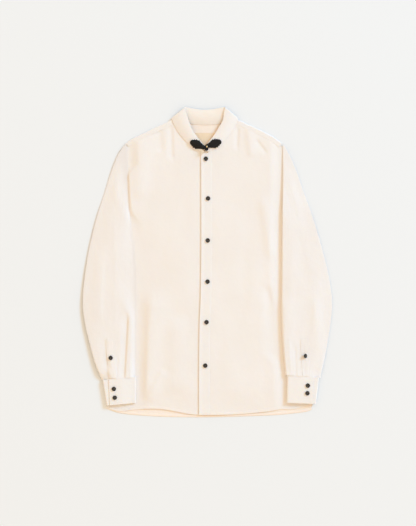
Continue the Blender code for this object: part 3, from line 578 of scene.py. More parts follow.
def edge_half(distance, full, groove=0.16):
    """Half thickness near an edge: rounded at it, pressed in at its stitches."""
    body = full * (0.25 + 0.75 * rounded(distance + 0.05, 0.8))
    return body - groove * bell(distance - STITCH_IN, 0.5)


def over(grid, half):
    """The upper face of cloth about a grid."""
    normal = grid_normals(grid, False)
    return grid + normal * np.where(normal[..., 2:] < 0, -1, 1) * half[..., None]


def top_of(*objects):
    """A function: the height of the objects' top at x and y."""
    bpy.context.view_layer.update()
    graph = bpy.context.evaluated_depsgraph_get()
    trees = [BVHTree.FromObject(o, graph) for o in objects]

    def height(x, y):
        ray = Vector((float(x) * MM, float(y) * MM, 0.2)), Vector((0, 0, -1))
        hits = [t.ray_cast(*ray)[0] for t in trees]
        return max((h.z / MM for h in hits if h is not None), default=0.0)

    return height


# Materials

def set_inputs(node, values):
    for key, value in values.items():
        node.inputs[key.replace("_", " ")].default_value = value


class Look:
    """A material with textures on the piece's own coordinates."""

    def __init__(self, name, colour, roughness, **values):
        self.material = bpy.data.materials.new(name)
        self.material.use_nodes = True
        self.shader = self.material.node_tree.nodes["Principled BSDF"]
        self.join = self.material.node_tree.links.new
        set_inputs(self.shader, {"Base_Color": (*colour, 1), "Roughness": roughness, **values})

    def node(self, kind, **values):
        node = self.material.node_tree.nodes.new("ShaderNode" + kind)
        for key in [k for k in values if hasattr(node, k)]:
            setattr(node, key, values.pop(key))
        set_inputs(node, values)
        return node

    def texture(self, kind, stretch=None, **values):
        """A texture's value, stretched if wanted."""
        texture = self.node("Tex" + kind, **values)
        place = self.node("TexCoord").outputs["Object"]
        if stretch:
            mapping = self.node("Mapping", Scale=stretch)
            self.join(place, mapping.inputs["Vector"])
            place = mapping.outputs["Vector"]
        self.join(place, texture.inputs["Vector"])
        return texture.outputs["Fac"]

    def bumps(self, *layers):
        """Bumps of a height, strength and distance, each laid over the one before."""
        normal = None
        for height, strength, distance in layers:
            bump = self.node("Bump", Strength=strength, Distance=distance)
            self.join(height, bump.inputs["Height"])
            if normal:
                self.join(normal, bump.inputs["Normal"])
            normal = bump.outputs["Normal"]
        self.join(normal, self.shader.inputs["Normal"])

    def tone(self, value, dark, light, low=0.0, high=1.0):
        """A colour from dark to light as a value goes from low to high."""
        ramp = self.node("ValToRGB")
        self.join(value, ramp.inputs["Fac"])
        for stop, colour, position in zip(ramp.color_ramp.elements, (dark, light), (low, high)):
            stop.position = position
            stop.color = (*colour, 1)
        return ramp.outputs["Color"]


def silk(name, colour, depth, thread=0.55, slub=1.0):
    """Woven silk: fine warp and weft in the bump, slubs, and a slight unevenness of tone."""
    look = Look(name, colour, 0.62, Sheen_Weight=0.18, Sheen_Roughness=0.45, Specular_IOR_Level=0.34,
                Subsurface_Weight=0.12, Subsurface_Radius=(1.0, 0.62, 0.36), Subsurface_Scale=0.004)
    scale = 2 * math.pi / (20 * thread * MM)
    weave = look.node("Math", operation="ADD")
    for k, (direction, share) in enumerate((("X", 1.0), ("Y", 0.9))):
        threads = look.texture("Wave", bands_direction=direction, Scale=scale * share, Distortion=0.6,
                               Detail=1.0, Detail_Scale=1.5)
        look.join(threads, weave.inputs[k])
    slubs = look.texture("Noise", (60, 900, 200), Scale=1.0, Detail=3.0)
    clouds = look.texture("Noise", Scale=9.0, Detail=4.0)
    crumple = look.texture("Noise", Scale=70.0, Detail=5.0)
    look.bumps((weave.outputs["Value"], 0.35, 0.00005), (slubs, 0.35 * slub, 0.00012), (crumple, 0.5, 0.0006))
    dark = [c * (1 - depth) ** (1 + 0.5 * k) for k, c in enumerate(colour)]
    mixed = look.node("Mix", data_type="RGBA", blend_type="MULTIPLY")
    factor, first, second, result = mixed.inputs[0], mixed.inputs[6], mixed.inputs[7], mixed.outputs[2]
    factor.default_value = 0.03
    look.join(look.tone(clouds, dark, colour, 0.3, 0.7), first)
    look.join(slubs, second)
    look.join(result, look.shader.inputs["Base Color"])
    return look.material


def noisy(name, colour, roughness, scale, depth, detail, **values):
    """A plain colour with a fine even grain in its bump."""
    look = Look(name, colour, roughness, **values)
    look.bumps((look.texture("Noise", Scale=scale, Detail=detail), 0.4, depth))
    return look.material


def cord_material(name, colour):
    """Black braid: diagonal strands in the bump and a dry tone that varies slightly."""
    look = Look(name, colour, 0.7, Specular_IOR_Level=0.2)
    strands = look.texture("Wave", bands_direction="DIAGONAL", Scale=420.0, Distortion=1.5, Detail=2.0,
                           Detail_Scale=2.0)
    fibres = look.texture("Noise", Scale=900.0, Detail=3.0)
    look.bumps((strands, 0.7, 0.00015), (fibres, 0.5, 0.0001))
    tone = look.tone(fibres, [c * 0.6 for c in colour], [c * 1.6 for c in colour])
    look.join(tone, look.shader.inputs["Base Color"])
    return look.material


def button_material(name, colour):
    """Polished black button with faint swirls and fine wear in its gloss."""
    look = Look(name, colour, 0.24, Specular_IOR_Level=0.3)
    swirl = look.texture("Noise", Scale=260.0, Detail=4.0, Distortion=1.2)
    tone = look.tone(swirl, [c * 0.7 for c in colour], [c * 1.7 for c in colour])
    look.join(tone, look.shader.inputs["Base Color"])
    wear = look.node("MapRange", To_Min=0.18, To_Max=0.34)
    look.join(swirl, wear.inputs["Value"])
    look.join(wear.outputs["Result"], look.shader.inputs["Roughness"])
    return look.material


SILK = silk("silk", (0.887, 0.802, 0.728), 0.02)
# A warmer copy of the silk for the inside faces of the back and yoke: painted warm shade, with more red and
# less blue than the silk, where they lie in shade
SILK_INSIDE_SHADED = silk("silk_inside_shaded", (0.955, 0.80, 0.674), 0.02)
SILK_BAND = silk("silk_band", (0.87, 0.80, 0.738), 0.015)
# A warmer copy of the band's silk for the collar's inner face: painted warm shade inside the collar
SILK_FACING_SHADED = silk("silk_facing_shaded", (0.897, 0.800, 0.708), 0.02)
LABEL_WEAVE = silk("label_weave", (0.92, 0.71, 0.497), 0.04, thread=0.4, slub=1.5)
# The tan thread's colour is painted shadow: the warm shadow under the collar's end
CREAM_THREAD, TAN_SHADOW_THREAD, DARK_THREAD = (
    noisy(name, colour, 0.5, 2500.0, 0.00008, 2.0)
    for name, colour in (("cream_thread", (0.88, 0.79, 0.68)), ("tan_shadow_thread", (0.50, 0.30, 0.14)),
                         ("dark_thread", (0.06, 0.055, 0.05))))
BRAID = cord_material("black_braid", (0.012, 0.010, 0.008))
BUTTON = button_material("black_button", (0.032, 0.026, 0.021))
BRASS = noisy("brass", (0.80, 0.60, 0.32), 0.28, 900.0, 0.00006, 3.0, Metallic=1.0)


# Body

def panel(hem_line, rows, cols, rounds, start, top, edges, groove):
    """X, y and half thickness of a panel whose columns run up from its turned hem."""
    levels = np.concatenate([NEAR_HEM, np.linspace(*rows)]) / rows[1]
    x = np.full((len(levels), cols), float(start))
    for _ in range(rounds):
        low = y_on(hem_line, x)
        y = low + (top(x) - low) * levels[:, None]
        first, last = edges(y)
        x = first + (last - first) * np.linspace(0, 1, cols)
    from_hem = y - y_on(hem_line, x)
    hem = HEM_HALF * (0.3 + 0.7 * rounded(from_hem + 0.05, 0.9))
    half = np.where(from_hem < HEM_DEPTH + 0.2, hem, SHEET_HALF)
    return x, y, half - groove * bell(from_hem - HEM_DEPTH, 0.5)


def make_front(side, lap, height):
    """A front, from under the band to the side, and the line of its hem's stitches."""
    shoulder = smooth_line(side.shoulder)
    rising = shoulder + inward(shoulder) * (FOLD_RADIUS + YOKE_STRIP + GAP + 0.1)
    rising = rising[np.argsort(rising[:, 0])]

    def edges(y):
        return band_edge_x(y) + BAND_WIDTH - lap, side_x(side, y, 30)

    x, y, half = panel(HEM_LINE, (11, 742, 208), 96, 6, edges(0)[0],
                       lambda x: np.minimum(y_on(NECK_LINE, x), y_on(rising, x)), edges, 0.12)
    z = height(x, y)
    z = z - 0.25 * ease(1 - (y_on(rising, x) - y) / 8) * (np.abs(x - CENTRE_X) > NECK_REACH)
    grid = np.stack([x, y, z], axis=2)
    piece = shell(f"front_{side.name}_cloth", grid, half, SILK, (side.name + "_front",), "silk")
    return piece, over(grid, half)[HEM_ROW]


def make_back():
    x, y, half = panel(BACK_HEM_LINE, (14, 664, 84), 90, 5, 0, lambda x: YOKE_DEPTH_Y - GAP,
                       lambda y: [side_x(side, y) for side in SIDES], 0.1)
    grid = np.stack([x, y, half + 0.05], axis=2)
    # The back's warmer silk is painted shade on the hem strip seen under the front
    piece = shell("back_cloth", grid, half, SILK_INSIDE_SHADED, ("back",), "silk")
    return over(grid, half)[HEM_ROW]


def make_yoke():
    """The inside of the yoke, and its two edges rolled over the shoulders."""
    columns = np.linspace(*YOKE_SPAN, 130)
    roof = [BACK_NECK_LINE[1:-1] + np.array([0, 2.5])]
    roof += [line + inward(line) * FOLD_RADIUS for line in (smooth_line(side.shoulder) for side in SIDES)]
    roof = np.vstack(roof)
    roof = roof[np.argsort(roof[:, 0])]
    top = y_on(roof, columns)
    top = np.where(columns < roof[0, 0], 296 + (columns - YOKE_SPAN[0]) * 1.2, top)
    top = np.where(columns > roof[-1, 0], 300 - (columns - roof[-1, 0]) * 1.6, top)
    y = YOKE_DEPTH_Y + (top - YOKE_DEPTH_Y) * np.linspace(0, 1, 34)[:, None]
    grid = np.stack([np.broadcast_to(columns, y.shape), y, np.full_like(y, BACK_MID)], axis=2)
    # The yoke's warmer silk is painted shade inside the neck, under the collar
    piece = shell("yoke_inside", grid, SHEET_HALF, SILK_INSIDE_SHADED, ("yoke",), "silk")
    turns = [(FOLD_RADIUS * (1 - math.cos(a)), FOLD_RADIUS * (1 + math.sin(a)))
             for a in np.radians(np.linspace(-90, 90, 15))]
    reach = np.array([1.5, 3, 4.5, 6, 7, 8, 8.6, 9.1, 9.6, 10.0])
    flat = [(FOLD_RADIUS + d, 2 * FOLD_RADIUS + 0.15 * ease((d - 5) / 4)) for d in reach]
    seams = []
    for side in SIDES:
        line = resample(smooth_line(side.shoulder), 3)
        line = np.vstack([2 * line[0] - line[1], line, 2 * line[-1] - line[-2]])
        run = np.arange(len(line)) * 3.0
        fall = 0.42 + 0.58 * ease(run / 34)
        grid = np.array([[(*(p + n * inset), BACK_MID + rise * low) for inset, rise in turns + flat]
                         for p, n, low in zip(line, inward(line), fall)])
        grid[:, len(turns):, 2] += (0.12 * np.sin(run / 5.5) + 0.08 * np.sin(run / 3.1))[:, None]
        from_edge = np.concatenate([[20.0] * len(turns), reach[-1] - reach])
        half = np.broadcast_to(SHEET_HALF * (0.3 + 0.7 * rounded(from_edge, 1.2)), grid.shape[:2])
        piece = shell(f"yoke_{side.name}_strip", grid, half, SILK, (), "silk")
        seams.append(over(grid, half)[:, -4, :])
    return seams


def make_band():
    across = edge_steps(BAND_WIDTH, 2.6)
    levels = np.linspace(0, 1, 226)
    x = band_edge_x(-390 + 670 * levels)[:, None] + across
    for _ in range(3):
        low, high = y_on(HEM_LINE, x), y_on(NECK_LINE, x)
        y = low + (high - low) * levels[:, None]
        x = band_edge_x(y) + across
    z = band_z(x, y)
    edge = from_ends(across)
    pucker = 0.10 * np.sin(y / 3.3 + 2 * np.sin(y / 21)) * bell(edge - STITCH_IN, 2.2)
    z = z + pucker * ripple(x, y, 5, 60, 45) + BAND_LIFT * bell(across, 4)
    from_hem = y - y_on(HEM_LINE, x)
    rim = np.where(across > BAND_WIDTH / 2, edge + 0.9, edge)
    seam = 0.22 * ease((across - BAND_WIDTH + 5) / 5)
    press = np.where(across > BAND_WIDTH / 2, 0.04, 0.16)
    half = np.minimum((edge_half(rim, BAND_HALF, press) - seam)[None, :], edge_half(from_hem, BAND_HALF, 0))
    grid = np.stack([x, y, z], axis=2)
    piece = shell("front_band_cloth", grid, half, SILK_BAND, ("front_band",), "silk_band")
    return piece, over(grid, half)[:, 5, :]


def make_label():
    wide, high = LABEL_SIZE
    columns, levels = edge_steps(wide, 4), edge_steps(high, 4)
    x, y = np.meshgrid(LABEL_X - wide / 2 + columns, LABEL_Y - high / 2 + levels)
    edge = np.minimum(from_ends(columns), from_ends(levels)[:, None])
    half = edge_half(edge, LABEL_HALF, 0.1)
    z = CLOTH + GAP + CLOTH / 2 + 0.15 * ripple(x, y, 4, 30, 30)
    grid = np.stack([x, y, z], axis=2)
    piece = shell("neck_label_cloth", grid, half, LABEL_WEAVE, ("neck_label",), "label")
    top = over(grid, half)
    return [top[5, 5:-5, :], top[-6, 5:-5, :], top[5:-5, 5, :], top[5:-5, -6, :]]


# Collar

def collar_table():
    """Ribs of the whole collar, from the right end round the back to the left end."""
    left, right = [], []
    for x, y, z, top_x, top_y, top_z in COLLAR_RIBS:
        front = z > FRONT_SEAM_LEAST
        height = band_z if x > BAND_EDGE[0][0] - 2 else front_z
        right.append((x, y, float(height(x, y)) + SEAM_RISE if front else z, top_x, top_y, top_z))
        x, top_x = 2 * CENTRE_X - x, 2 * CENTRE_X - top_x + LEFT_TOP_BOW * bell(top_y - 362, 14)
        if front:
            z, top_z = float(left_front_z(x, y)) + SEAM_RISE, top_z - LEFT_TOP_DROP
        left.append((x, y, z, top_x, top_y, top_z))
    return right + left[-2::-1]


def make_collar():
    ribs = collar_table()
    ends = 0.06 * np.array([0, 0.3, 0.8, 1.5, 2.3, 3.2, 4.3])
    places = np.concatenate([ends, np.linspace(0.32, len(ribs) - 1.32, 230), len(ribs) - 1 - ends[::-1]])
    table = np.array([row_at(ribs, at) for at in places])
    seam, top = table[:, :3], table[:, 3:]
    shares = np.array([0, 0.012, 0.03, 0.06, *np.linspace(0.1, 0.88, 16), 0.92, 0.945, 0.965, 0.985, 1])
    grid = seam[:, None, :] + (top - seam)[:, None, :] * shares[None, :, None]
    run = run_along(seam)
    from_end = from_ends(run)[:, None]
    across = shares[None, :] * 40
    lumps = 0.20 * ripple(run[:, None], across, 12, 60, 50) * ease(from_end / 30)
    lumps = lumps + 0.10 * ripple(run[:, None], across, 13, 14, 40) * bell(shares, 0.15)
    grid[..., 2] += COLLAR_BOW * np.sin(math.pi * shares) + lumps
    edge = from_ends(shares) * norm(top - seam, axis=1)[:, None]
    half = np.minimum(edge_half(edge, COLLAR_HALF), edge_half(from_end, COLLAR_HALF))
    # The collar's inner face gets the warmer silk: painted shade
    piece = shell("collar_cloth", grid, half, SILK_BAND, ("collar",), "silk_band", lining=SILK_FACING_SHADED)
    normal = grid_normals(grid, False) * half[..., None]
    rows = range(4, len(places) - 4)
    lines = [np.array([face[k, np.argmin(np.abs(edge[k] - inset) + other_half * 50)] for k in rows])
             for face, inset, other_half in ((grid - normal, STITCH_IN, shares < 0.5),
                                             (grid + normal, STITCH_IN, shares < 0.5),
                                             (grid - normal, 1.6, shares > 0.5))]
    return piece, lines


# Sleeves

def sleeve_base(x, y):
    """Height of a sleeve's underside: on the body, then down to the surface."""
    inside = inside_outline(x, y) + SLEEVE_MARGIN / 2
    return 0.05 + SLEEVE_REST * ease(1 + inside / SLEEVE_SLOPE)


def make_sleeve(side):
    """A flattened tube, rounded at the armhole fold and gathered into the cuff.

    Where its edge on the body doesn't slope up softly, that edge is round and stands free.
    """
    sections, seed, soft = side.sections, side.seed, side.soft
    seat, bulk, lift = (0.4, 3.6, 5.0) if soft else (1.0, 5.3, 1.0)
    end = len(sections) - 1
    places = np.concatenate([[0, 0.01, 0.03, 0.06, 0.1, 0.15, 0.21, 0.28, 0.36], np.linspace(0.45, end, 190)])
    turn = 1 - np.cos(np.linspace(0, math.pi / 2, 8))
    back_turn = turn[::-1][1:]
    rings, run, before = [], 0.0, None
    for at in places:
        section = row_at(sections, at)
        inner, outer = section[0:2], section[2:4]
        width = math.dist(inner, outer)
        across = (outer - inner) / width
        at_cuff = float(ease(1 - (end - at) / 0.6))
        down = np.array([across[1], -across[0]]) * np.sign(across[0]) * SLEEVE_LAP * at_cuff
        inner, outer = inner + down, outer + down
        middle = (inner + outer) / 2
        run += 0 if before is None else math.dist(middle, before)
        before = middle
        near = 3 + soft * float(ease((125 - inner[1]) / 60) * (1 - 0.76 * ease((-50 - inner[1]) / 110)))
        far = min(45.0, width / 2.6)
        s = np.concatenate([near * turn[:-1], np.linspace(near, width - far, 72), width - far * back_turn])
        plan = inner + across * s[:, None]
        x, y = plan.T
        raised = lift * ease((s / width - 0.35) / 0.6) * ease((120 - y) / 280) * (1 - at_cuff)
        base = sleeve_base(x, y) + raised
        crown = section[4] * np.clip(np.sin(math.pi * s / width), 0, 1) ** 0.7
        waves = 0.14 * ripple(s, run, seed, 55, 220) + 0.03 * ripple(s, run, seed + 1, 18, 70)
        gathers = 0.18 * ripple(s, run, seed + 2, 15, 120) * ease(1 - (end - at) / 1.1)
        thinner = 1 - 0.62 * ease(s / width) * (1 - at_cuff)
        full = (bulk + crown) * thinner + waves + gathers + (0 if soft else EDGE_BULK * (1 - ease(s / 90)))
        full = full + (CUFF_BULK - bulk) * float(ease(1 - (end - at) / 1.8))
        full = full + np.maximum(fold_height(x, y, side.folds), -3.4)
        tuck = float(ease(run / 80) if soft else rounded(run + 0.02, 9.0))
        full = seat + (np.maximum(full, 1.2) - seat) * tuck
        rise = ease(s / near) if soft else rounded(s, near)
        edge = rise * (0.3 * rounded(width - s, 3) + 0.7 * ease((width - s) / far))
        top = base + seat + (full - seat) * edge
        low_s = np.concatenate([3 * turn[1:-1], np.linspace(3, width - 3, 26), width - 3 * back_turn[:-1]])
        low_s = low_s[::-1]
        low_edge = rounded(low_s, 3) * rounded(width - low_s, 3)
        low = np.interp(low_s, s, base) + seat * (1 - low_edge) + 0.3
        low = np.minimum(low, np.interp(low_s, s, top) - 0.1)
        under = np.column_stack([inner + across * low_s[:, None], low])
        rings.append(np.concatenate([np.column_stack([plan, top]), under]))
    grid = np.array(rings)
    half = np.full(grid.shape[:2], SLEEVE_HALF)
    half[:9] = np.linspace(0.05, SLEEVE_HALF, 9)[:, None]
    piece = shell(f"sleeve_{side.name}_cloth", grid, half, SILK, (side.name + "_sleeve",), "silk", wrap=True)
    length = float(norm(np.diff(grid.mean(axis=1), axis=0), axis=1).sum())
    beside = np.roll(grid, -1, axis=1)
    around = float(norm(beside - grid, axis=2).sum(axis=1).max())
    halves = (np.cross(beside[:-1] - grid[:-1], grid[1:] - grid[:-1]),
              np.cross(beside[1:] - beside[:-1], grid[1:] - beside[:-1]))
    area = float(sum(norm(h, axis=2).sum() for h in halves)) / 2
    return piece


def make_placket(side, sleeve):
    height, thick = top_of(sleeve), side.placket_half
    inner_x, inner_y, outer_x, outer_y = side.sections[-1][:4]
    edge = resample(smooth_line(side.placket), 3)
    slope = (outer_y - inner_y) / (outer_x - inner_x)
    across = edge_steps(PLACKET_WIDTH, 2.5)
    grid = np.zeros((len(edge), len(across), 3))
    for k, (x, y) in enumerate(edge):
        for j, s in enumerate(across):
            px = x + side.inward * s
            py = max(y, inner_y + slope * (px - inner_x) + 0.6)
            grid[k, j] = (px, py, height(px, py + GAP) + thick + 0.1)
    for _ in range(2):
        grid[1:-1, :, 2] = (grid[:-2, :, 2] + 2 * grid[1:-1, :, 2] + grid[2:, :, 2]) / 4
    grid[..., 2] += 0.1
    rim = np.minimum(from_ends(across), run_along(edge)[:, None])
    half = edge_half(rim, thick)
    piece = shell(f"placket_{side.name}_cloth", grid, half, SILK, (side.name + "_sleeve_placket",), "silk")
    top = over(grid, half)
    return piece, [top[1:, 5, :], top[1:, -6, :], top[1, 5:-5, :]]


def cuff_line(inner, outer, lap, press):
    """Mid-line of a wound strip whose top layer overlaps the under one.

    Press is how much lower it lies at its fold on the body.
    """
    width = math.dist(inner, outer)
    across = (outer - inner) / width
    low = SLEEVE_LIFT - GAP + CUFF_CLOTH / 2
    under_top = low + CUFF_CLOTH + CUFF_GAP
    over_top = under_top + CUFF_CLOTH + 0.4
    small, large = (under_top - low) / 2, (over_top - press - low) / 2
    lap_at = math.dist(inner, lap)
    arc = np.radians(np.linspace(78, -78, 9))
    line = [(s, under_top) for s in np.linspace(lap_at - CUFF_OVERLAP, width - small, 14)]
    line += [(width - small + small * math.cos(a), low + small + small * math.sin(a)) for a in arc]
    line += [(s, low) for s in np.linspace(width - small, large, 24)]
    line += [(large - large * math.cos(a), low + large + large * math.sin(a)) for a in -arc]
    from_lap = np.concatenate([FINE, np.linspace(FINE[-1], lap_at - large, 26)[1:-1]])[::-1]
    line += [(lap_at - d, over_top - press * (1 - ease((lap_at - d - large) / 40))) for d in from_lap]
    s, z = np.array(line).T
    return s, z, inner, across


def make_cuff(side):
    """A backed band wound once round, with stitched edges."""
    tops, ends = np.array(side.cuff)
    high = math.dist(tops[0], ends[0])
    levels = edge_steps(high, 3.2)
    grid = []
    for share in levels / high:
        s, z, inner, across = cuff_line(*(tops + (ends - tops) * share), side.press)
        waves = 0.12 * ripple(s, share * high, side.cuff_seed, 45, 60) * (z > z.max() - 1.8)
        grid.append(np.column_stack([inner + across * s[:, None], z + waves]))
    grid = np.array(grid)
    run = run_along(grid[5])
    rim = np.minimum(from_ends(levels)[:, None], from_ends(run))
    half = edge_half(rim, CUFF_HALF)
    piece = shell(f"cuff_{side.name}_cloth", grid, half, SILK_BAND, (side.name + "_cuff",), "silk_band")
    top = over(grid, half)
    return piece, [top[5, -31:-5, :], top[-6, -31:-5, :], top[5:-5, -6, :]]


# Buttons and frog

def turned(profile, segments):
    """Points and faces of a solid turned from radii and heights, from axis to axis."""
    turn = [(math.cos(a), math.sin(a)) for a in np.arange(segments) * 2 * math.pi / segments]
    points = [(0, 0, profile[0][1])] + [(r * c, r * s, z) for r, z in profile[1:-1] for c, s in turn]
    points.append((0, 0, profile[-1][1]))
    last = len(points) - 1
    faces = []
    for k in range(segments):
        n = (k + 1) % segments
        faces.append((0, 1 + n, 1 + k))
        for a in range(1, last - segments, segments):
            faces.append((a + k, a + n, a + n + segments, a + k + segments))
        faces.append((last, last - segments + k, last - segments + n))
    return points, faces


def button_mesh():
    """A four-hole button about the origin: dished face, rounded rim."""
    profile = [(0.0, 0.0), (0.55, 0.0), (0.86, 0.12), (0.97, 0.35), (1.0, 0.6), (0.97, 0.85), (0.9, 0.98),
               (0.82, 1.0), (0.74, 0.94), (0.66, 0.8), (0.58, 0.72), (0.3, BUTTON_FACE), (0.0, 0.68)]
    drills = [tube([(dx, dy, -1.8), (dx, dy, 4.2)], HOLE_RADIUS, 16)
              for dx in (-HOLE_OFFSET, HOLE_OFFSET) for dy in (-HOLE_OFFSET, HOLE_OFFSET)]
    solid = turned([(r * BUTTON_RADIUS, z * BUTTON_THICK) for r, z in profile], 40)
    body, tool = (add_object("button", mesh_of("button", *form)) for form in (solid, gather(drills)))
    cut = body.modifiers.new("holes", "BOOLEAN")
    cut.object, cut.operation, cut.solver = tool, "DIFFERENCE", "EXACT"
    bpy.context.view_layer.update()
    made = bpy.data.meshes.new_from_object(body.evaluated_get(bpy.context.evaluated_depsgraph_get()))
    bpy.data.objects.remove(body)
    bpy.data.objects.remove(tool)
    return made


def seated_button(node, x, y, pattern, ground):
    """One button on its cloth; returns the paths of the threads that hold it."""
    tip = math.radians(TIPPED_BUTTONS.get(node, 0))
    tip_sin, tip_cos = math.sin(tip), math.cos(tip)
    ring = [(4.5 * math.cos(a), 4.5 * math.sin(a)) for a in np.radians(range(0, 360, 30))]
    seat = 0.15 + max(ground(x + dx * tip_cos, y + dy) - (BUTTON_RADIUS - dx) * tip_sin for dx, dy in ring)

    def placed(dx, dy, dz):
        return (x + dx * tip_cos + (dz - BUTTON_THICK / 2) * tip_sin, y + dy,
                seat + (BUTTON_RADIUS - dx) * tip_sin + dz * tip_cos)

    mesh = pattern.copy()
    for v in mesh.vertices:
        v.co = Vector(placed(*(v.co / MM))) * MM
    mesh.materials.clear()
    mesh.materials.append(BUTTON)
    finish_piece(add_object(node + "_body", mesh), 35, (node,), "button")
    arch = [(-1.15, -1.0), (-1.0, -0.1), (-0.55, 0.16), (0.0, 0.24), (0.55, 0.16), (1.0, -0.1), (1.15, -1.0)]
    return [[placed(dx + shift, t, BUTTON_FACE * BUTTON_THICK + h) for t, h in arch]
            for dx in (-HOLE_OFFSET, HOLE_OFFSET) for shift in (-0.22, 0.0, 0.22)]


def make_buttons(groups):
    """Buttons, their threads and the stitched buttonholes under them, upright or not."""
    pattern = button_mesh()
    threads, worked = [], []
    for buttons, ground, upright in groups:
        for node, (x, y) in buttons.items():
            threads += [tube(path, 0.15, 6) for path in seated_button(node, x, y, pattern, ground)]
            for side in (-1, 1):
                for t in np.arange(-HOLE_HALF_LENGTH, HOLE_HALF_LENGTH + 0.1, 0.55):
                    path = []
                    for out, h in ((0.25, -0.05), (0.8, 0.2), (1.3, -0.1)):
                        px, py = (x + side * out, y + t) if upright else (x + t, y + side * out)
                        path.append((px, py, ground(px, py) + h))
                    worked.append(tube(path, [0.2, 0.25, 0.15], 5))
    add_piece("button_threads", *gather(threads), DARK_THREAD)
    add_piece("buttonhole_stitches", *gather(worked), CREAM_THREAD)


def make_leaf(name, node, root, angle, height):
    """One side of the frog: slanted cords laid side by side on a spine."""
    angle = math.radians(angle)
    ahead = np.array([math.cos(angle), math.sin(angle)])
    side = np.array([-ahead[1], ahead[0]])
    at = np.linspace(0, 1, 50)
    halves = LEAF_WIDTH / 2 * np.interp(at, *zip(*LEAF_STATIONS))
    starts = np.append(LEAF_LENGTH * at - CORD_SLANT * halves, LEAF_LENGTH)
    halves = np.append(halves, 0.4)
    parts = []
    for k, start in enumerate(np.linspace(starts[0], LEAF_LENGTH - 0.6, LEAF_CORDS)):
        half = float(np.interp(start, starts, halves)) * (1.08 if k % 4 == 1 else 0.96)
        for sign in (-1, 1):
            path = []
            for share in (0, 0.15, 0.4, 0.65, 0.88, 0.96, 1.0):
                out = half * share
                x, y = np.array(root) + ahead * (start + CORD_SLANT * out) + side * sign * out
                path.append((x, y, height(x, y) + LEAF_GAP + 0.9 - 0.3 * share**2))
            parts.append(tube(path, [0.9, 1.1, 1.1, 1.1, 1.1, 0.9, 0.5], 8))
    spine = [np.array(root) + ahead * LEAF_LENGTH * t for t in np.linspace(0.1, 0.97, 16)]
    spine = [(x, y, height(x, y) + LEAF_GAP + 1.3) for x, y in spine]
    parts.append(tube(spine, [1.15] * 14 + [0.9, 0.5], 10))
    add_piece(name, *gather(parts), BRAID, (node,), "frog_cord")


def draped(height):
    """Height of stiff braid over the collar: it falls no faster than its slope."""
    x, y = np.meshgrid(np.arange(-62, 52, 3.0), np.arange(268, 334, 3.0))
    ground = np.array([[height(a, b) for a, b in zip(*row)] for row in zip(x, y)])
    return lambda px, py: max(height(px, py), float((ground - BRAID_SLOPE * np.hypot(x - px, y - py)).max()))


def box_of(node):
    """Middle and half size of a node's box, in millimetres."""
    low, high = (np.array(corner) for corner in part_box(node))
    return (low + high) / 2 / MM, (high - low) / 2 / MM


def make_frog(ground):
    make_leaf("frog_right_braid", "right_frog_leaf", RIGHT_LEAF_ROOT, RIGHT_LEAF_ANGLE, ground)
    make_leaf("frog_left_braid", "left_frog_leaf", LEFT_LEAF_ROOT, LEFT_LEAF_ANGLE, ground)
    middle, size = box_of("frog_knot")
    turns = np.linspace(0, 2 * math.pi, 120, endpoint=False)
    wide = 0.70 + 0.24 * np.cos(5 * turns)
    path = np.column_stack([0.9 * wide * np.cos(3 * turns), 0.9 * wide * np.sin(3 * turns),
                            0.62 * np.sin(5 * turns)]) * size + middle
    core = [middle + np.array([0, 0, dz]) for dz in np.linspace(-2.2, 2.2, 7)]
    knot = gather([tube(path, 1.1, 8, closed=True), tube(core, [1.6, 2.8, 3.4, 3.6, 3.4, 2.8, 1.6], 14)])
    add_piece("frog_knot_braid", *knot, BRAID, ("frog_knot",), "frog_cord")
    half_turn = np.linspace(0, math.pi, 21)
    points, faces = turned([(BEAD_RADIUS * math.sin(a), -BEAD_RADIUS * math.cos(a)) for a in half_turn], 32)
    points = np.array(points) + box_of("frog_bead")[0] + np.array([0, 0, 1.4])
    add_piece("frog_bead_ball", points, faces, BRASS, ("frog_bead",), "bead")
    # A tan cord laid along the shadow under the collar's end: painted shadow
    path = [(x, y, ground(x, y) + 0.7) for x, y in smooth_line(FROG_SHADOW_LINE)]
    add_piece("frog_shadow_cord", *tube(path, np.linspace(0.45, 1.3, len(path)), 8), TAN_SHADOW_THREAD)


# Surface, light and camera

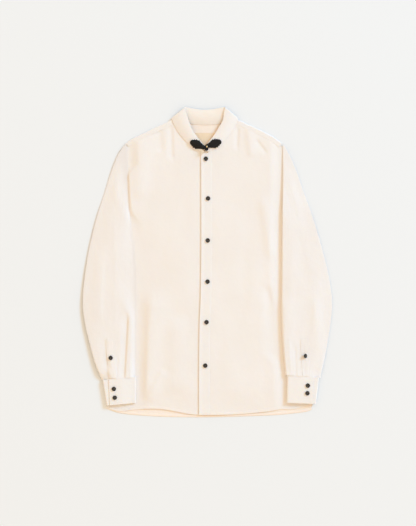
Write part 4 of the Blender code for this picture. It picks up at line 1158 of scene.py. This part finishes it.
def make_floor():
    mesh = bpy.data.meshes.new("floor")
    corners = [(x * FLOOR_REACH, y * FLOOR_REACH, 0) for x, y in ((-1, -1), (1, -1), (1, 1), (-1, 1))]
    mesh.from_pydata(corners, [], [(0, 1, 2, 3)])
    mesh.materials.append(Look("floor_paper", FLOOR_COLOUR, 0.9, Specular_IOR_Level=0.1).material)
    add_object("floor", mesh)


def make_light():
    scene = bpy.context.scene
    scene.world = bpy.data.worlds.new("studio")
    scene.world.use_nodes = True
    back = scene.world.node_tree.nodes["Background"]
    set_inputs(back, {"Color": (*WORLD_COLOUR, 1), "Strength": WORLD_STRENGTH})
    light = bpy.data.lights.new("key", "AREA")
    light.shape, light.size, light.energy, light.color = "DISK", KEY_SIZE, KEY_POWER, KEY_COLOUR
    key = add_object("key", light)
    key.location = KEY_PLACE
    key.rotation_euler = (-Vector(KEY_PLACE)).to_track_quat("-Z", "Y").to_euler()
    scene.view_settings.view_transform = "Standard"
    scene.view_settings.look = "None"


def make_camera():
    """Straight above the middle of the photograph, far off with a long lens."""
    view = bpy.data.cameras.new("camera")
    view.lens, view.sensor_width, view.clip_end = LENS, SENSOR, 50
    camera = add_object("camera", view)
    camera.location = (*VIEW_CENTRE, VIEW_WIDTH * LENS / SENSOR + 0.004)
    bpy.context.scene.camera = camera


def main():
    make_floor()
    make_light()
    make_camera()
    right, left = SIDES
    lines = [make_back(), *make_yoke()]
    right_hem = make_front(right, 2, front_z)[1]
    left_front, left_hem = make_front(left, 1, left_front_z)
    band, band_line = make_band()
    collar, collar_lines = make_collar()
    lines += [right_hem, left_hem, band_line, *collar_lines, *make_label()]
    sleeves = [make_sleeve(side) for side in SIDES]
    cuffs, cuff_lines = zip(*[make_cuff(side) for side in SIDES])
    plackets, placket_lines = zip(*[make_placket(side, sleeve) for side, sleeve in zip(SIDES, sleeves)])
    for some in cuff_lines + placket_lines:
        lines += some
    make_stitches(lines)
    make_frog(draped(top_of(collar, band, left_front)))
    make_buttons([(FRONT_BUTTONS, top_of(band), True), (CUFF_BUTTONS, top_of(*cuffs), False),
                  (PLACKET_BUTTONS, top_of(*plackets), True)])


main()
